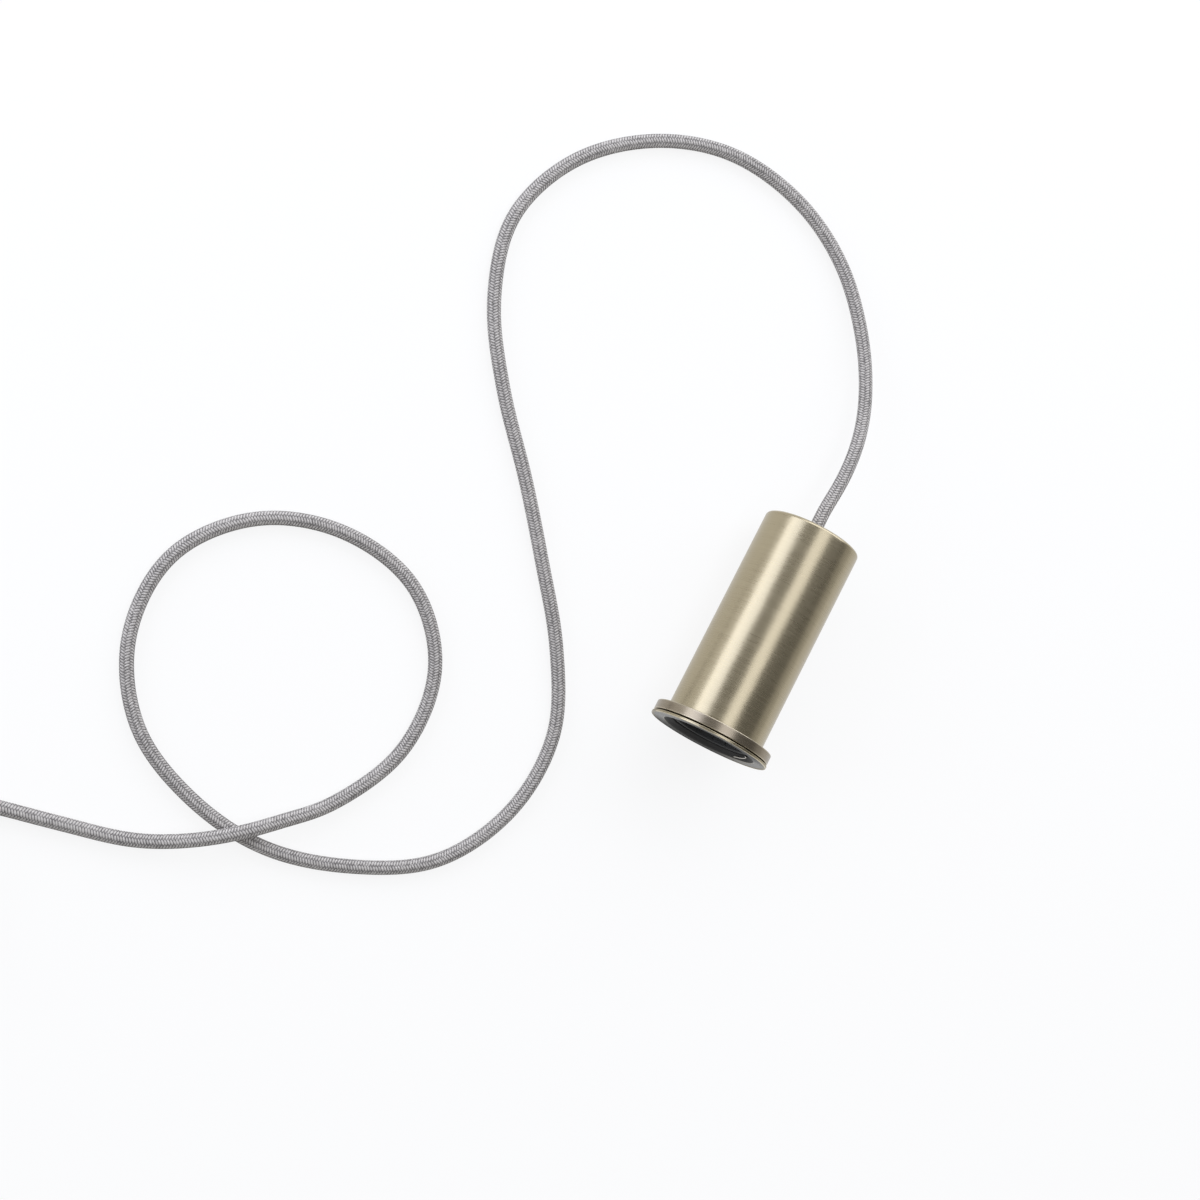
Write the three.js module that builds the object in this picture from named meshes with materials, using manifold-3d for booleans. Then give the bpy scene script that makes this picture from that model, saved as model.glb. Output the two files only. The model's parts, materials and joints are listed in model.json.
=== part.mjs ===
// Pendant cord set: a brass cup with a flange and a screw-on shade ring, an E27 lamp holder inside it,
// and a braided mains cord. Millimetres, +Z up. The pendant lies on the floor as it comes to rest, its
// cord runs over the floor beside it, and the rest of the cord lies in a tied coil.
import * as THREE from 'three';
import { mergeVertices } from 'three/addons/utils/BufferGeometryUtils.js';
import Module from 'manifold-3d';

const wasm = await Module();
wasm.setup();

// Clearance between pieces that seat on each other
const SEAT_GAP = 0.3;

// Housing: tube, flange and closed end in one piece
const LENGTH = 108;
const TUBE_RADIUS = 23.5;
const TUBE_WALL = 1.5;
const END_THICKNESS = 3;
const END_EDGE_RADIUS = 1.6;
const FLANGE_RADIUS = 28.7;
const FLANGE_THICKNESS = 4.8;
const FLANGE_EDGE_RADIUS = 0.4;

// Shade ring: a rim in front of the flange, and a threaded collar inside the tube
const RING_RADIUS = 29;
const RING_RIM = 1.3;
const RING_EDGE_RADIUS = 0.45;
const RING_MOUTH_RADIUS = 22.7;
const RING_MOUTH_DEPTH = 2.4;
const RING_COLLAR_LENGTH = 9;
const RING_FLANGE_GAP = 0.35;

// Lamp holder: threaded skirt in front, cap behind
const HOLDER_RADIUS = 19.9;
const SKIRT_SETBACK = 2.8;
const SKIRT_LENGTH = 43.2;
const SKIRT_MOUTH_RADIUS = 17.4;
const SKIRT_MOUTH_DEPTH = 5.4;
const SKIRT_BORE_RADIUS = 15.2;
const SKIRT_LEDGE_DEPTH = 25.2;
const SKIRT_REAR_RADIUS = 18.2;
const CAP_WALL = 2;
const CAP_BODY_LENGTH = 12.7;
const CAP_DOME_LENGTH = 7;
const CAP_FLOOR_DEPTH = 15.5;
const CAP_BOSS_RADIUS = 10.5;
const CAP_BOSS_LENGTH = 5;
const CAP_SPIGOT_LENGTH = 7.7;

// Contact block with the E27 screw shell and the centre contact
const BLOCK_THICKNESS = 9.7;
const BLOCK_BOSS_HEIGHT = 4.3;
const BLOCK_BOSS_RADIUS = 13.7;
const SHELL_RADIUS = 13.3;
const SHELL_WALL = 0.5;
const SHELL_DEPTH = 15;
const SHELL_PITCH = 3.6;
const SHELL_TURNS = 3;
const SHELL_WAVE = 0.4;
const SHELL_LIP = 0.5;
const SHELL_HOLE_RADIUS = 7.6;
const CONTACT_WIDTH = 6;
const CONTACT_THICKNESS = 0.5;
const CONTACT_RISE = 4.6;
const RIVET_RADIUS = 1.2;
const RIVET_HEAD_RADIUS = 1.9;
const RIVET_HEAD_HEIGHT = 0.8;
const LIVE_RIVET_X = -5;
const NEUTRAL_RIVET_X = 10.5;

// Terminals on the back of the contact block
const TERMINAL_WIDTH = 8.6;
const TERMINAL_DEPTH = 7;
const TERMINAL_HEIGHT = 6.4;
const TERMINAL_X = 8.3;
const WIRE_HOLE_RADIUS = 1.6;
const WIRE_HOLE_DEPTH = 4.6;
const TERMINAL_SCREW_RADIUS = 1.4;
const TERMINAL_SCREW_HEAD_RADIUS = 2.3;
const TERMINAL_SCREW_HEAD_HEIGHT = 1.8;
const SCREW_SLOT_WIDTH = 0.6;
const SCREW_SLOT_DEPTH = 0.7;

// M10 thread line: insert, nipple, washers, nut, cord grip and bush
const THREAD_RADIUS = 5;
const NIPPLE_BORE_RADIUS = 4.05;
const INSERT_RADIUS = 7.2;
const INSERT_FLANGE_RADIUS = 10.2;
const INSERT_FLANGE_THICKNESS = 1.5;
const WASHER_THICKNESS = 0.8;
const CAP_WASHER_RADIUS = 9.5;
const TOP_WASHER_RADIUS = 9;
const NUT_ACROSS_FLATS = 14;
const NUT_HEIGHT = 3;
const GRIP_RADIUS = 8.6;
const GRIP_BODY_LENGTH = 17;
const GRIP_SOCKET_DEPTH = 8.4;
const GRIP_STUB_LENGTH = 3.4;
const JAW_WIDTH = 3.6;
const JAW_LENGTH = 4.4;
const JAW_HEIGHT = 2.4;
const GRIP_SCREW_RADIUS = 1.6;
const GRIP_SCREW_LENGTH = 2.2;
const BUSH_FLANGE_RADIUS = 6.6;
const BUSH_FLANGE_THICKNESS = 1.2;
const BUSH_SLEEVE_RADIUS = 5;

// Earth connection inside the cap
const EARTH_SCREW_Z = 8;
const EARTH_SCREW_RADIUS = 1.4;
const EARTH_SCREW_HEAD_RADIUS = 2.3;
const EARTH_SCREW_HEAD_HEIGHT = 1.8;
const LUG_THICKNESS = 0.8;
const LUG_RADIUS = 3.4;
const LUG_BARREL_Z = 12.6;
const LUG_BARREL_RADIUS = 2.1;
const LUG_BARREL_LENGTH = 6;

// Cord: diameter of the braid, its cores, and where it lies
const CORD_RADIUS = 3.2;
const CORE_RADIUS = 1.2;
const CORE_SPREAD = 1.6;
const SHEATH_END = 57;
const CORD_LIE = 0.05;
const CORD_SIDES = 8;
const CORD_STEPS = 76;
const EXIT_STRAIGHT = 12;

// Coil of the spare length: its centre on the floor, and the turns' places
const COIL_CENTRE = new THREE.Vector2(-298.8, -278.8);
const COIL_RADIUS = 36;
const COIL_PITCH = 6.5;
const COIL_COLUMNS = 3;
const COIL_LAYERS = 2;
const COIL_ENTRY_ANGLE = 102.4;
const COIL_STEP_ANGLE = 60;
const TAIL_START = 1840;
const TAIL_END = 1925;
const TAIL_STRAIGHT = 22;

// Strap that ties the coil
const TIE_ANGLE = 322;
const TIE_WIDTH = 12;
const TIE_THICKNESS = 0.8;

// Finished end of the cord for a hard-wired connection
const SLEEVE_WALL = 0.5;
const SLEEVE_LENGTH = 22;
const SLEEVE_OVERLAP = 10;
const SLEEVE_TIP_RADIUS = 3.1;
const TAIL_CORE_LENGTH = 30;
const TAIL_CORE_FAN = 5;
const FERRULE_COLLAR_RADIUS = 1.6;
const FERRULE_COLLAR_LENGTH = 6;
const FERRULE_PIN_RADIUS = 0.75;
const FERRULE_PIN_LENGTH = 8;

// The cord's route on the floor from the pendant to the coil, chosen by hand
const ROUTE = [
  [1.6, 85, 20.6], [0.7, 105.4, 16.6], [-4.4, 124.5, 12.5], [-18.2, 149.8, 7.3], [-43, 174.9, 4.2],
  [-75.1, 189.4, 3.4], [-115, 191.1, 3.25], [-150.9, 175.9, 3.25], [-179.1, 147.1, 3.25],
  [-190.7, 110, 3.25], [-179.8, 72.8, 3.25], [-156.2, 40.2, 3.25], [-128, 10.9, 3.25],
  [-101.9, -18.8, 3.25], [-76.6, -49.6, 3.25], [-58.2, -84.6, 3.25], [-58.9, -123.9, 3.25],
  [-78.1, -159.4, 3.25], [-111.8, -179.8, 3.25], [-150.8, -190.3, 3.25], [-189.8, -186.1, 3.25],
  [-225.3, -169.5, 3.25], [-247.7, -136.8, 3.25], [-248.9, -97.5, 3.25], [-225.2, -65.9, 3.25],
  [-188.5, -51.7, 3.25], [-148.9, -57.1, 3.25], [-121.9, -84.4, 3.25], [-117, -123.5, 3.45],
  [-133.7, -159.4, 4.2], [-149.8, -175.6, 7.2], [-166, -190, 9.95], [-183.5, -203, 7.2],
  [-203.5, -213.3, 4.2], [-232.6, -220.6, 3.5], [-255.9, -225.7, 3.5],
];

// Stations along the pendant's axis, counted from the shade ring's front face
const flangeFront = RING_RIM + RING_FLANGE_GAP;
const flangeBack = flangeFront + FLANGE_THICKNESS;
const endInside = LENGTH - END_THICKNESS;
const skirtFront = SKIRT_SETBACK;
const skirtBack = skirtFront + SKIRT_LENGTH;
const ledgeBack = skirtFront + SKIRT_LEDGE_DEPTH;
const blockFront = ledgeBack + SEAT_GAP;
const blockBack = blockFront + BLOCK_THICKNESS;
const bossFace = blockFront - BLOCK_BOSS_HEIGHT;
const capShoulder = skirtBack + SEAT_GAP;
const spigotFront = Math.max(blockBack + SEAT_GAP, capShoulder - CAP_SPIGOT_LENGTH);
const capFloor = capShoulder + CAP_FLOOR_DEPTH;
const bossStart = capShoulder + CAP_BODY_LENGTH + CAP_DOME_LENGTH;
const bossEnd = bossStart + CAP_BOSS_LENGTH;
const insertFlangeBack = capFloor - SEAT_GAP;
const insertFlangeFront = insertFlangeBack - INSERT_FLANGE_THICKNESS;
const capWasherFront = bossEnd + SEAT_GAP;
const nutFront = capWasherFront + WASHER_THICKNESS + SEAT_GAP;
const topWasherBack = endInside - SEAT_GAP;
const gripShoulder = topWasherBack - WASHER_THICKNESS - SEAT_GAP;
const gripFront = gripShoulder - GRIP_BODY_LENGTH;
const gripSocketEnd = gripFront + GRIP_SOCKET_DEPTH;
const gripTip = gripShoulder + GRIP_STUB_LENGTH;
const nippleEnd = gripSocketEnd - SEAT_GAP;
const nippleFront = insertFlangeFront + SEAT_GAP;
const bushSleeveFront = gripTip + SEAT_GAP;
const bushFlangeFront = LENGTH + SEAT_GAP;
const bushBack = bushFlangeFront + BUSH_FLANGE_THICKNESS;
const jawCentre = (gripSocketEnd + gripShoulder) / 2;

// Radii that follow from their neighbours
const tubeBore = TUBE_RADIUS - TUBE_WALL;
const ringCollarRadius = tubeBore - SEAT_GAP;
const ringBore = HOLDER_RADIUS + SEAT_GAP;
const threadHole = THREAD_RADIUS + SEAT_GAP;
const cordHole = CORD_RADIUS + SEAT_GAP;
const capSpigotRadius = SKIRT_REAR_RADIUS - SEAT_GAP;
const capBore = capSpigotRadius - CAP_WALL;
const insertHole = INSERT_RADIUS + SEAT_GAP;
const rivetHole = RIVET_RADIUS + SEAT_GAP;

// The lying pendant touches the floor with the shade ring's rim and the edge of its closed end
const rimContact = RING_RIM - RING_EDGE_RADIUS;
const tilt = Math.atan((RING_RADIUS - TUBE_RADIUS) / (LENGTH - END_EDGE_RADIUS - rimContact));
const axisHeight = RING_RADIUS * Math.cos(tilt) + rimContact * Math.sin(tilt);

const material = (color, roughness, metalness) =>
  new THREE.MeshStandardMaterial({ color, roughness, metalness });
const satinBrass = material(0xa89a78, 0.38, 0.9);
const blackMoulding = material(0x161616, 0.45, 0);
const nickel = material(0xb9b4a8, 0.3, 0.9);
const brass = material(0xb9964f, 0.35, 0.9);
const zincSteel = material(0x9b9da0, 0.4, 0.8);
const paleMoulding = material(0xd8d4c8, 0.5, 0);
const braid = material(0x96918f, 0.85, 0);
const brownCore = material(0x5b3420, 0.5, 0);
const blueCore = material(0x2b5fae, 0.5, 0);
const earthCore = material(0x6f9a2c, 0.5, 0);
const whiteCollar = material(0xe6e3da, 0.5, 0);

// Points of a round edge in a profile, from one angle to another in degrees
function arc(centreR, centreS, radius, from, to, count = 2) {
  const points = [];
  for (let i = 0; i <= count; i += 1) {
    const angle = THREE.MathUtils.degToRad(from + ((to - from) * i) / count);
    points.push([centreR + radius * Math.cos(angle), centreS + radius * Math.sin(angle)]);
  }
  return points;
}

// A turned piece about the pendant's axis from a closed profile of [radius, station]
function turned(profile, segments = 48) {
  const points = profile.map(([r, s]) => new THREE.Vector2(r, s));
  if (THREE.ShapeUtils.isClockWise(points)) points.reverse();
  points.push(points[0].clone());
  return new THREE.LatheGeometry(points, segments);
}

// A plain ring or disc between two stations
function collar(inner, outer, front, back, segments = 32) {
  return turned([[inner, front], [outer, front], [outer, back], [inner, back]], segments);
}

function solidOf(geometry) {
  const bare = geometry.clone();
  bare.deleteAttribute('normal');
  bare.deleteAttribute('uv');
  const merged = mergeVertices(bare, 1e-4);
  return new wasm.Manifold(new wasm.Mesh({
    numProp: 3,
    vertProperties: new Float32Array(merged.attributes.position.array),
    triVerts: new Uint32Array(merged.index.array),
  }));
}

function geometryOf(solid) {
  const { vertProperties, triVerts } = solid.getMesh();
  const geometry = new THREE.BufferGeometry();
  geometry.setAttribute('position', new THREE.BufferAttribute(vertProperties, 3));
  geometry.setIndex(new THREE.BufferAttribute(triVerts, 1));
  geometry.computeVertexNormals();
  return geometry;
}

function cut(body, ...tools) {
  return geometryOf(tools.reduce((solid, tool) => solid.subtract(solidOf(tool)), solidOf(body)));
}

function join(body, ...others) {
  return geometryOf(others.reduce((solid, other) => solid.add(solidOf(other)), solidOf(body)));
}

// A bar along the pendant's axis, off to one side of it
function bar(x, z, radius, front, back, segments = 12) {
  return new THREE.CylinderGeometry(radius, radius, back - front, segments)
    .translate(x, (front + back) / 2, z);
}

// A bar across the pendant's axis, along Z
function crossBar(x, station, radius, low, high, segments = 12) {
  return new THREE.CylinderGeometry(radius, radius, high - low, segments)
    .rotateX(Math.PI / 2)
    .translate(x, station, (low + high) / 2);
}

function block(xRange, stationRange, zRange) {
  const size = [xRange, stationRange, zRange].map(([low, high]) => high - low);
  const centre = [xRange, stationRange, zRange].map(([low, high]) => (high + low) / 2);
  return new THREE.BoxGeometry(...size).translate(...centre);
}

// A flat plate across the axis from an outline in X and Z
function plate(shape, front, back) {
  return new THREE.ExtrudeGeometry(shape, { depth: back - front, bevelEnabled: false, curveSegments: 12 })
    .rotateX(Math.PI / 2)
    .translate(0, back, 0);
}

function tube(points, radius, sides, steps, type = 'centripetal') {
  const curve = new THREE.CatmullRomCurve3(points, false, type);
  const section = new THREE.Shape();
  for (let i = 0; i < sides; i += 1) {
    const angle = (i * 2 * Math.PI) / sides;
    const [x, y] = [radius * Math.cos(angle), radius * Math.sin(angle)];
    if (i === 0) section.moveTo(x, y);
    else section.lineTo(x, y);
  }
  section.closePath();
  return new THREE.ExtrudeGeometry(section, { steps, extrudePath: curve, bevelEnabled: false });
}

function piece(name, geometry, look) {
  const mesh = new THREE.Mesh(geometry, look);
  mesh.name = name;
  return mesh;
}

function housing() {
  const edge = FLANGE_EDGE_RADIUS;
  return turned([
    [tubeBore, flangeFront],
    ...arc(FLANGE_RADIUS - edge, flangeFront + edge, edge, -90, 0),
    ...arc(FLANGE_RADIUS - edge, flangeBack - edge, edge, 0, 90),
    [TUBE_RADIUS, flangeBack],
    ...arc(TUBE_RADIUS - END_EDGE_RADIUS, LENGTH - END_EDGE_RADIUS, END_EDGE_RADIUS, 0, 90, 4),
    [threadHole, LENGTH],
    [threadHole, endInside],
    [tubeBore, endInside],
  ], 56);
}

function shadeRing() {
  const edge = RING_EDGE_RADIUS;
  return turned([
    [RING_MOUTH_RADIUS, 0],
    ...arc(RING_RADIUS - edge, edge, edge, -90, 0),
    ...arc(RING_RADIUS - edge, RING_RIM - edge, edge, 0, 90),
    [ringCollarRadius, RING_RIM],
    [ringCollarRadius, RING_COLLAR_LENGTH],
    [ringBore, RING_COLLAR_LENGTH],
    [ringBore, RING_MOUTH_DEPTH],
  ], 56);
}

function lampholderSkirt() {
  const mouthEnd = skirtFront + SKIRT_MOUTH_DEPTH;
  const taper = SKIRT_MOUTH_RADIUS - SKIRT_BORE_RADIUS;
  return turned([
    [SKIRT_MOUTH_RADIUS + 0.6, skirtFront],
    [HOLDER_RADIUS - 0.5, skirtFront],
    [HOLDER_RADIUS, skirtFront + 0.5],
    [HOLDER_RADIUS, skirtBack],
    [SKIRT_REAR_RADIUS, skirtBack],
    [SKIRT_REAR_RADIUS, ledgeBack],
    [SKIRT_BORE_RADIUS, ledgeBack],
    [SKIRT_BORE_RADIUS, mouthEnd + taper],
    [SKIRT_MOUTH_RADIUS, mouthEnd],
    [SKIRT_MOUTH_RADIUS, skirtFront + 0.6],
  ], 48);
}

function lampholderCap() {
  const domeStart = capShoulder + CAP_BODY_LENGTH;
  const domeRadius = HOLDER_RADIUS - CAP_BOSS_RADIUS;
  const dome = arc(0, 0, 1, 0, 90, 4).map(([x, y]) => [
    CAP_BOSS_RADIUS + domeRadius * x,
    domeStart + CAP_DOME_LENGTH * y,
  ]);
  const innerCorner = 2.8;
  return turned([
    [capBore, spigotFront],
    [capSpigotRadius, spigotFront],
    [capSpigotRadius, capShoulder],
    [HOLDER_RADIUS, capShoulder],
    ...dome,
    [CAP_BOSS_RADIUS, bossEnd],
    [insertHole, bossEnd],
    [insertHole, capFloor],
    [capBore - innerCorner, capFloor],
    [capBore, capFloor - innerCorner],
  ], 40);
}

function contactBlock() {
  const body = turned([
    [0, bossFace],
    [BLOCK_BOSS_RADIUS, bossFace],
    [BLOCK_BOSS_RADIUS, blockFront],
    [capSpigotRadius, blockFront],
    [capSpigotRadius, blockBack],
    [0, blockBack],
  ], 36);
  const holes = [LIVE_RIVET_X, NEUTRAL_RIVET_X].map((x) => bar(x, 0, rivetHole, bossFace - 1, blockBack + 1));
  return cut(body, ...holes);
}

// Rolled screw shell: a wall that waves in and out once a pitch, a lip in front and a holed floor
function screwShell() {
  const floorBack = bossFace - SEAT_GAP;
  const floorFront = floorBack - SHELL_WALL;
  const front = floorFront - SHELL_DEPTH;
  const waveFront = front + 2;
  const stepsPerTurn = 4;
  const wall = [];
  for (let i = 0; i <= SHELL_TURNS * stepsPerTurn; i += 1) {
    const wave = SHELL_WAVE * (1 - Math.cos((i * 2 * Math.PI) / stepsPerTurn)) / 2;
    wall.push([SHELL_RADIUS - wave, waveFront + (i * SHELL_PITCH) / stepsPerTurn]);
  }
  const outer = wall.map(([r, s]) => [r + SHELL_WALL, s]);
  const body = turned([
    [SHELL_RADIUS + SHELL_LIP, front],
    [SHELL_RADIUS + SHELL_LIP + SHELL_WALL, front],
    ...outer,
    [SHELL_RADIUS + SHELL_WALL, floorBack],
    [SHELL_HOLE_RADIUS, floorBack],
    [SHELL_HOLE_RADIUS, floorFront],
    [SHELL_RADIUS, floorFront],
    ...wall.reverse(),
  ], 24);
  return cut(body, bar(NEUTRAL_RIVET_X, 0, rivetHole, floorFront - 1, floorBack + 1));
}

// Sprung strip: flat under its rivet, then up to the middle of the shell
function centreContact() {
  const flat = bossFace - SEAT_GAP;
  const high = flat - CONTACT_RISE;
  const edge = [[-7, flat], [-2.6, flat], [0.6, high + 0.5], [2.6, high], [5.4, high + 1.2]];
  const shape = new THREE.Shape(edge.map(([x, s]) => new THREE.Vector2(x, s)));
  for (const [x, s] of [...edge].reverse()) shape.lineTo(x, s - CONTACT_THICKNESS);
  shape.closePath();
  const strip = new THREE.ExtrudeGeometry(shape, { depth: CONTACT_WIDTH, bevelEnabled: false })
    .translate(0, 0, -CONTACT_WIDTH / 2);
  return cut(strip, bar(LIVE_RIVET_X, 0, rivetHole, flat - 2, flat + 1));
}

function rivet(x, seatThickness) {
  const headBack = bossFace - SEAT_GAP - seatThickness - SEAT_GAP;
  return turned([
    [0, headBack - RIVET_HEAD_HEIGHT],
    [RIVET_HEAD_RADIUS * 0.7, headBack - RIVET_HEAD_HEIGHT],
    [RIVET_HEAD_RADIUS, headBack - RIVET_HEAD_HEIGHT / 3],
    [RIVET_HEAD_RADIUS, headBack],
    [RIVET_RADIUS, headBack],
    [RIVET_RADIUS, blockBack],
    [0, blockBack],
  ], 12).translate(x, 0, 0);
}

// Clamp block with a wire hole from behind and a screw hole from above
function terminal(side) {
  const front = blockBack + SEAT_GAP;
  const back = front + TERMINAL_HEIGHT;
  const x = side * TERMINAL_X;
  const body = block([x - TERMINAL_WIDTH / 2, x + TERMINAL_WIDTH / 2], [front, back],
    [-TERMINAL_DEPTH / 2, TERMINAL_DEPTH / 2]);
  const screwHole = TERMINAL_SCREW_RADIUS + SEAT_GAP;
  const screwStation = back - WIRE_HOLE_DEPTH / 2;
  return cut(body, bar(x, 0, WIRE_HOLE_RADIUS, back - WIRE_HOLE_DEPTH, back + 1),
    crossBar(x, screwStation, screwHole, 0, TERMINAL_DEPTH));
}

// Slotted screw along +Z, its head seated above a face
function slottedScrew(shankRadius, headRadius, headHeight, shankLength) {
  const body = join(
    new THREE.CylinderGeometry(headRadius, headRadius, headHeight, 20).translate(0, headHeight / 2, 0),
    new THREE.CylinderGeometry(shankRadius, shankRadius, shankLength + 0.2, 16)
      .translate(0, (0.2 - shankLength) / 2, 0),
  );
  const slot = new THREE.BoxGeometry(headRadius * 3, SCREW_SLOT_DEPTH * 2, SCREW_SLOT_WIDTH)
    .translate(0, headHeight, 0);
  return cut(body, slot);
}

function terminalScrew(side) {
  const back = blockBack + SEAT_GAP + TERMINAL_HEIGHT;
  const seat = TERMINAL_DEPTH / 2 + SEAT_GAP;
  const shank = seat - CORE_RADIUS - SEAT_GAP;
  return slottedScrew(TERMINAL_SCREW_RADIUS, TERMINAL_SCREW_HEAD_RADIUS, TERMINAL_SCREW_HEAD_HEIGHT, shank)
    .rotateX(Math.PI / 2)
    .translate(side * TERMINAL_X, back - WIRE_HOLE_DEPTH / 2, seat);
}

function threadInsert() {
  const body = turned([
    [threadHole, insertFlangeFront],
    [INSERT_FLANGE_RADIUS, insertFlangeFront],
    [INSERT_FLANGE_RADIUS, insertFlangeBack],
    [INSERT_RADIUS, insertFlangeBack],
    [INSERT_RADIUS, bossEnd],
    [threadHole, bossEnd],
  ], 28);
  const hole = EARTH_SCREW_RADIUS + SEAT_GAP;
  return cut(body, bar(0, EARTH_SCREW_Z, hole, insertFlangeFront - 1, insertFlangeBack - 0.2));
}

// Ring tongue under the earth screw, with a crimp barrel bent forward
function earthLug() {
  const back = insertFlangeFront - SEAT_GAP;
  const front = back - LUG_THICKNESS;
  const half = LUG_BARREL_RADIUS;
  const ring = bar(0, EARTH_SCREW_Z, LUG_RADIUS, front, back, 24);
  const tongue = block([-half, half], [front, back], [EARTH_SCREW_Z, LUG_BARREL_Z + half * 0.6]);
  const barrel = bar(0, LUG_BARREL_Z, LUG_BARREL_RADIUS, front - LUG_BARREL_LENGTH, front + 0.1, 20);
  const bore = bar(0, LUG_BARREL_Z, CORE_RADIUS + SEAT_GAP, front - LUG_BARREL_LENGTH - 1, front - 1, 16);
  const hole = bar(0, EARTH_SCREW_Z, EARTH_SCREW_RADIUS + SEAT_GAP, front - 1, back + 1);
  return cut(join(ring, tongue, barrel), bore, hole);
}

function earthScrew() {
  const seat = insertFlangeFront - SEAT_GAP - LUG_THICKNESS - SEAT_GAP;
  const shank = insertFlangeBack - 0.5 - seat;
  return slottedScrew(EARTH_SCREW_RADIUS, EARTH_SCREW_HEAD_RADIUS, EARTH_SCREW_HEAD_HEIGHT, shank)
    .rotateX(Math.PI)
    .translate(0, seat, EARTH_SCREW_Z);
}

function hexNut() {
  const corner = NUT_ACROSS_FLATS / 2 / Math.cos(Math.PI / 6);
  const shape = new THREE.Shape();
  for (let i = 0; i < 6; i += 1) {
    const angle = (i * Math.PI) / 3;
    if (i === 0) shape.moveTo(corner, 0);
    else shape.lineTo(corner * Math.cos(angle), corner * Math.sin(angle));
  }
  shape.closePath();
  shape.holes.push(new THREE.Path().absarc(0, 0, threadHole, 0, 2 * Math.PI, true));
  return plate(shape, nutFront, nutFront + NUT_HEIGHT);
}

function toothedWasher(radius, front) {
  const teeth = 12;
  const root = radius - 1.2;
  const shape = new THREE.Shape();
  for (let i = 0; i < teeth; i += 1) {
    const start = (i * 2 * Math.PI) / teeth;
    const width = (2 * Math.PI) / teeth;
    const corners = [[root, 0], [radius, 0.18], [radius, 0.52], [root, 0.7]];
    for (const [r, share] of corners) {
      const angle = start + share * width;
      const [x, y] = [r * Math.cos(angle), r * Math.sin(angle)];
      if (i === 0 && share === 0) shape.moveTo(x, y);
      else shape.lineTo(x, y);
    }
  }
  shape.closePath();
  shape.holes.push(new THREE.Path().absarc(0, 0, threadHole, 0, 2 * Math.PI, true));
  return plate(shape, front, front + WASHER_THICKNESS);
}

// Moulded cord grip: socket for the nipple, threaded stub into the closed end, and a slot for its jaw
function cordGrip() {
  const edge = 0.8;
  const body = turned([
    [threadHole, gripFront],
    [GRIP_RADIUS - edge, gripFront],
    [GRIP_RADIUS, gripFront + edge],
    [GRIP_RADIUS, gripShoulder - edge],
    [GRIP_RADIUS - edge, gripShoulder],
    [THREAD_RADIUS, gripShoulder],
    [THREAD_RADIUS, gripTip],
    [cordHole, gripTip],
    [cordHole, gripSocketEnd],
    [threadHole, gripSocketEnd],
  ], 24);
  const slotHalf = JAW_WIDTH / 2 + SEAT_GAP;
  const slotLength = JAW_LENGTH / 2 + SEAT_GAP;
  const slot = block([-slotHalf, slotHalf], [jawCentre - slotLength, jawCentre + slotLength],
    [0, cordHole + JAW_HEIGHT + SEAT_GAP]);
  const screwHole = crossBar(0, jawCentre, GRIP_SCREW_RADIUS + SEAT_GAP, cordHole, GRIP_RADIUS + 1);
  return cut(body, slot, screwHole);
}

// Clamp jaw with two teeth towards the cord
function gripJaw() {
  const half = JAW_LENGTH / 2;
  const tooth = 0.6;
  const outline = [
    [-half, cordHole + tooth], [-half * 0.6, cordHole], [-half * 0.2, cordHole + tooth],
    [half * 0.2, cordHole + tooth], [half * 0.6, cordHole], [half, cordHole + tooth],
    [half, cordHole + JAW_HEIGHT], [-half, cordHole + JAW_HEIGHT],
  ];
  const shape = new THREE.Shape(outline.map(([s, z]) => new THREE.Vector2(s, z)));
  return new THREE.ExtrudeGeometry(shape, { depth: JAW_WIDTH, bevelEnabled: false })
    .applyMatrix4(new THREE.Matrix4().set(
      0, 0, 1, -JAW_WIDTH / 2,
      1, 0, 0, jawCentre,
      0, 1, 0, 0,
      0, 0, 0, 1,
    ));
}

function gripScrew() {
  const low = cordHole + JAW_HEIGHT + SEAT_GAP;
  const high = low + GRIP_SCREW_LENGTH;
  const body = crossBar(0, jawCentre, GRIP_SCREW_RADIUS, low, high, 20);
  const slot = block([-3, 3], [jawCentre - SCREW_SLOT_WIDTH / 2, jawCentre + SCREW_SLOT_WIDTH / 2],
    [high - SCREW_SLOT_DEPTH, high + 1]);
  return cut(body, slot);
}

function cordBush() {
  const edge = 0.7;
  return turned([
    [cordHole, bushSleeveFront],
    [BUSH_SLEEVE_RADIUS, bushSleeveFront],
    [BUSH_SLEEVE_RADIUS, bushFlangeFront],
    [BUSH_FLANGE_RADIUS, bushFlangeFront],
    ...arc(BUSH_FLANGE_RADIUS - edge, bushBack - edge, edge, 0, 90),
    [cordHole, bushBack],
  ], 24);
}

// The three cores leave the sheath at equal angles
function coreStart(angleDeg) {
  const angle = THREE.MathUtils.degToRad(angleDeg);
  return new THREE.Vector3(CORE_SPREAD * Math.cos(angle), SHEATH_END - SEAT_GAP, CORE_SPREAD * Math.sin(angle));
}

function terminalCore(side) {
  const back = blockBack + SEAT_GAP + TERMINAL_HEIGHT;
  const x = side * TERMINAL_X;
  const start = coreStart(side > 0 ? -30 : -150);
  return tube([
    start,
    start.clone().add(new THREE.Vector3(side * 0.6, -2, 0)),
    new THREE.Vector3(x - side * 1, back + 3.4, -0.2),
    new THREE.Vector3(x, back + 0.8, 0),
    new THREE.Vector3(x, back - WIRE_HOLE_DEPTH + 1, 0),
  ], CORE_RADIUS, 8, 12);
}

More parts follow.
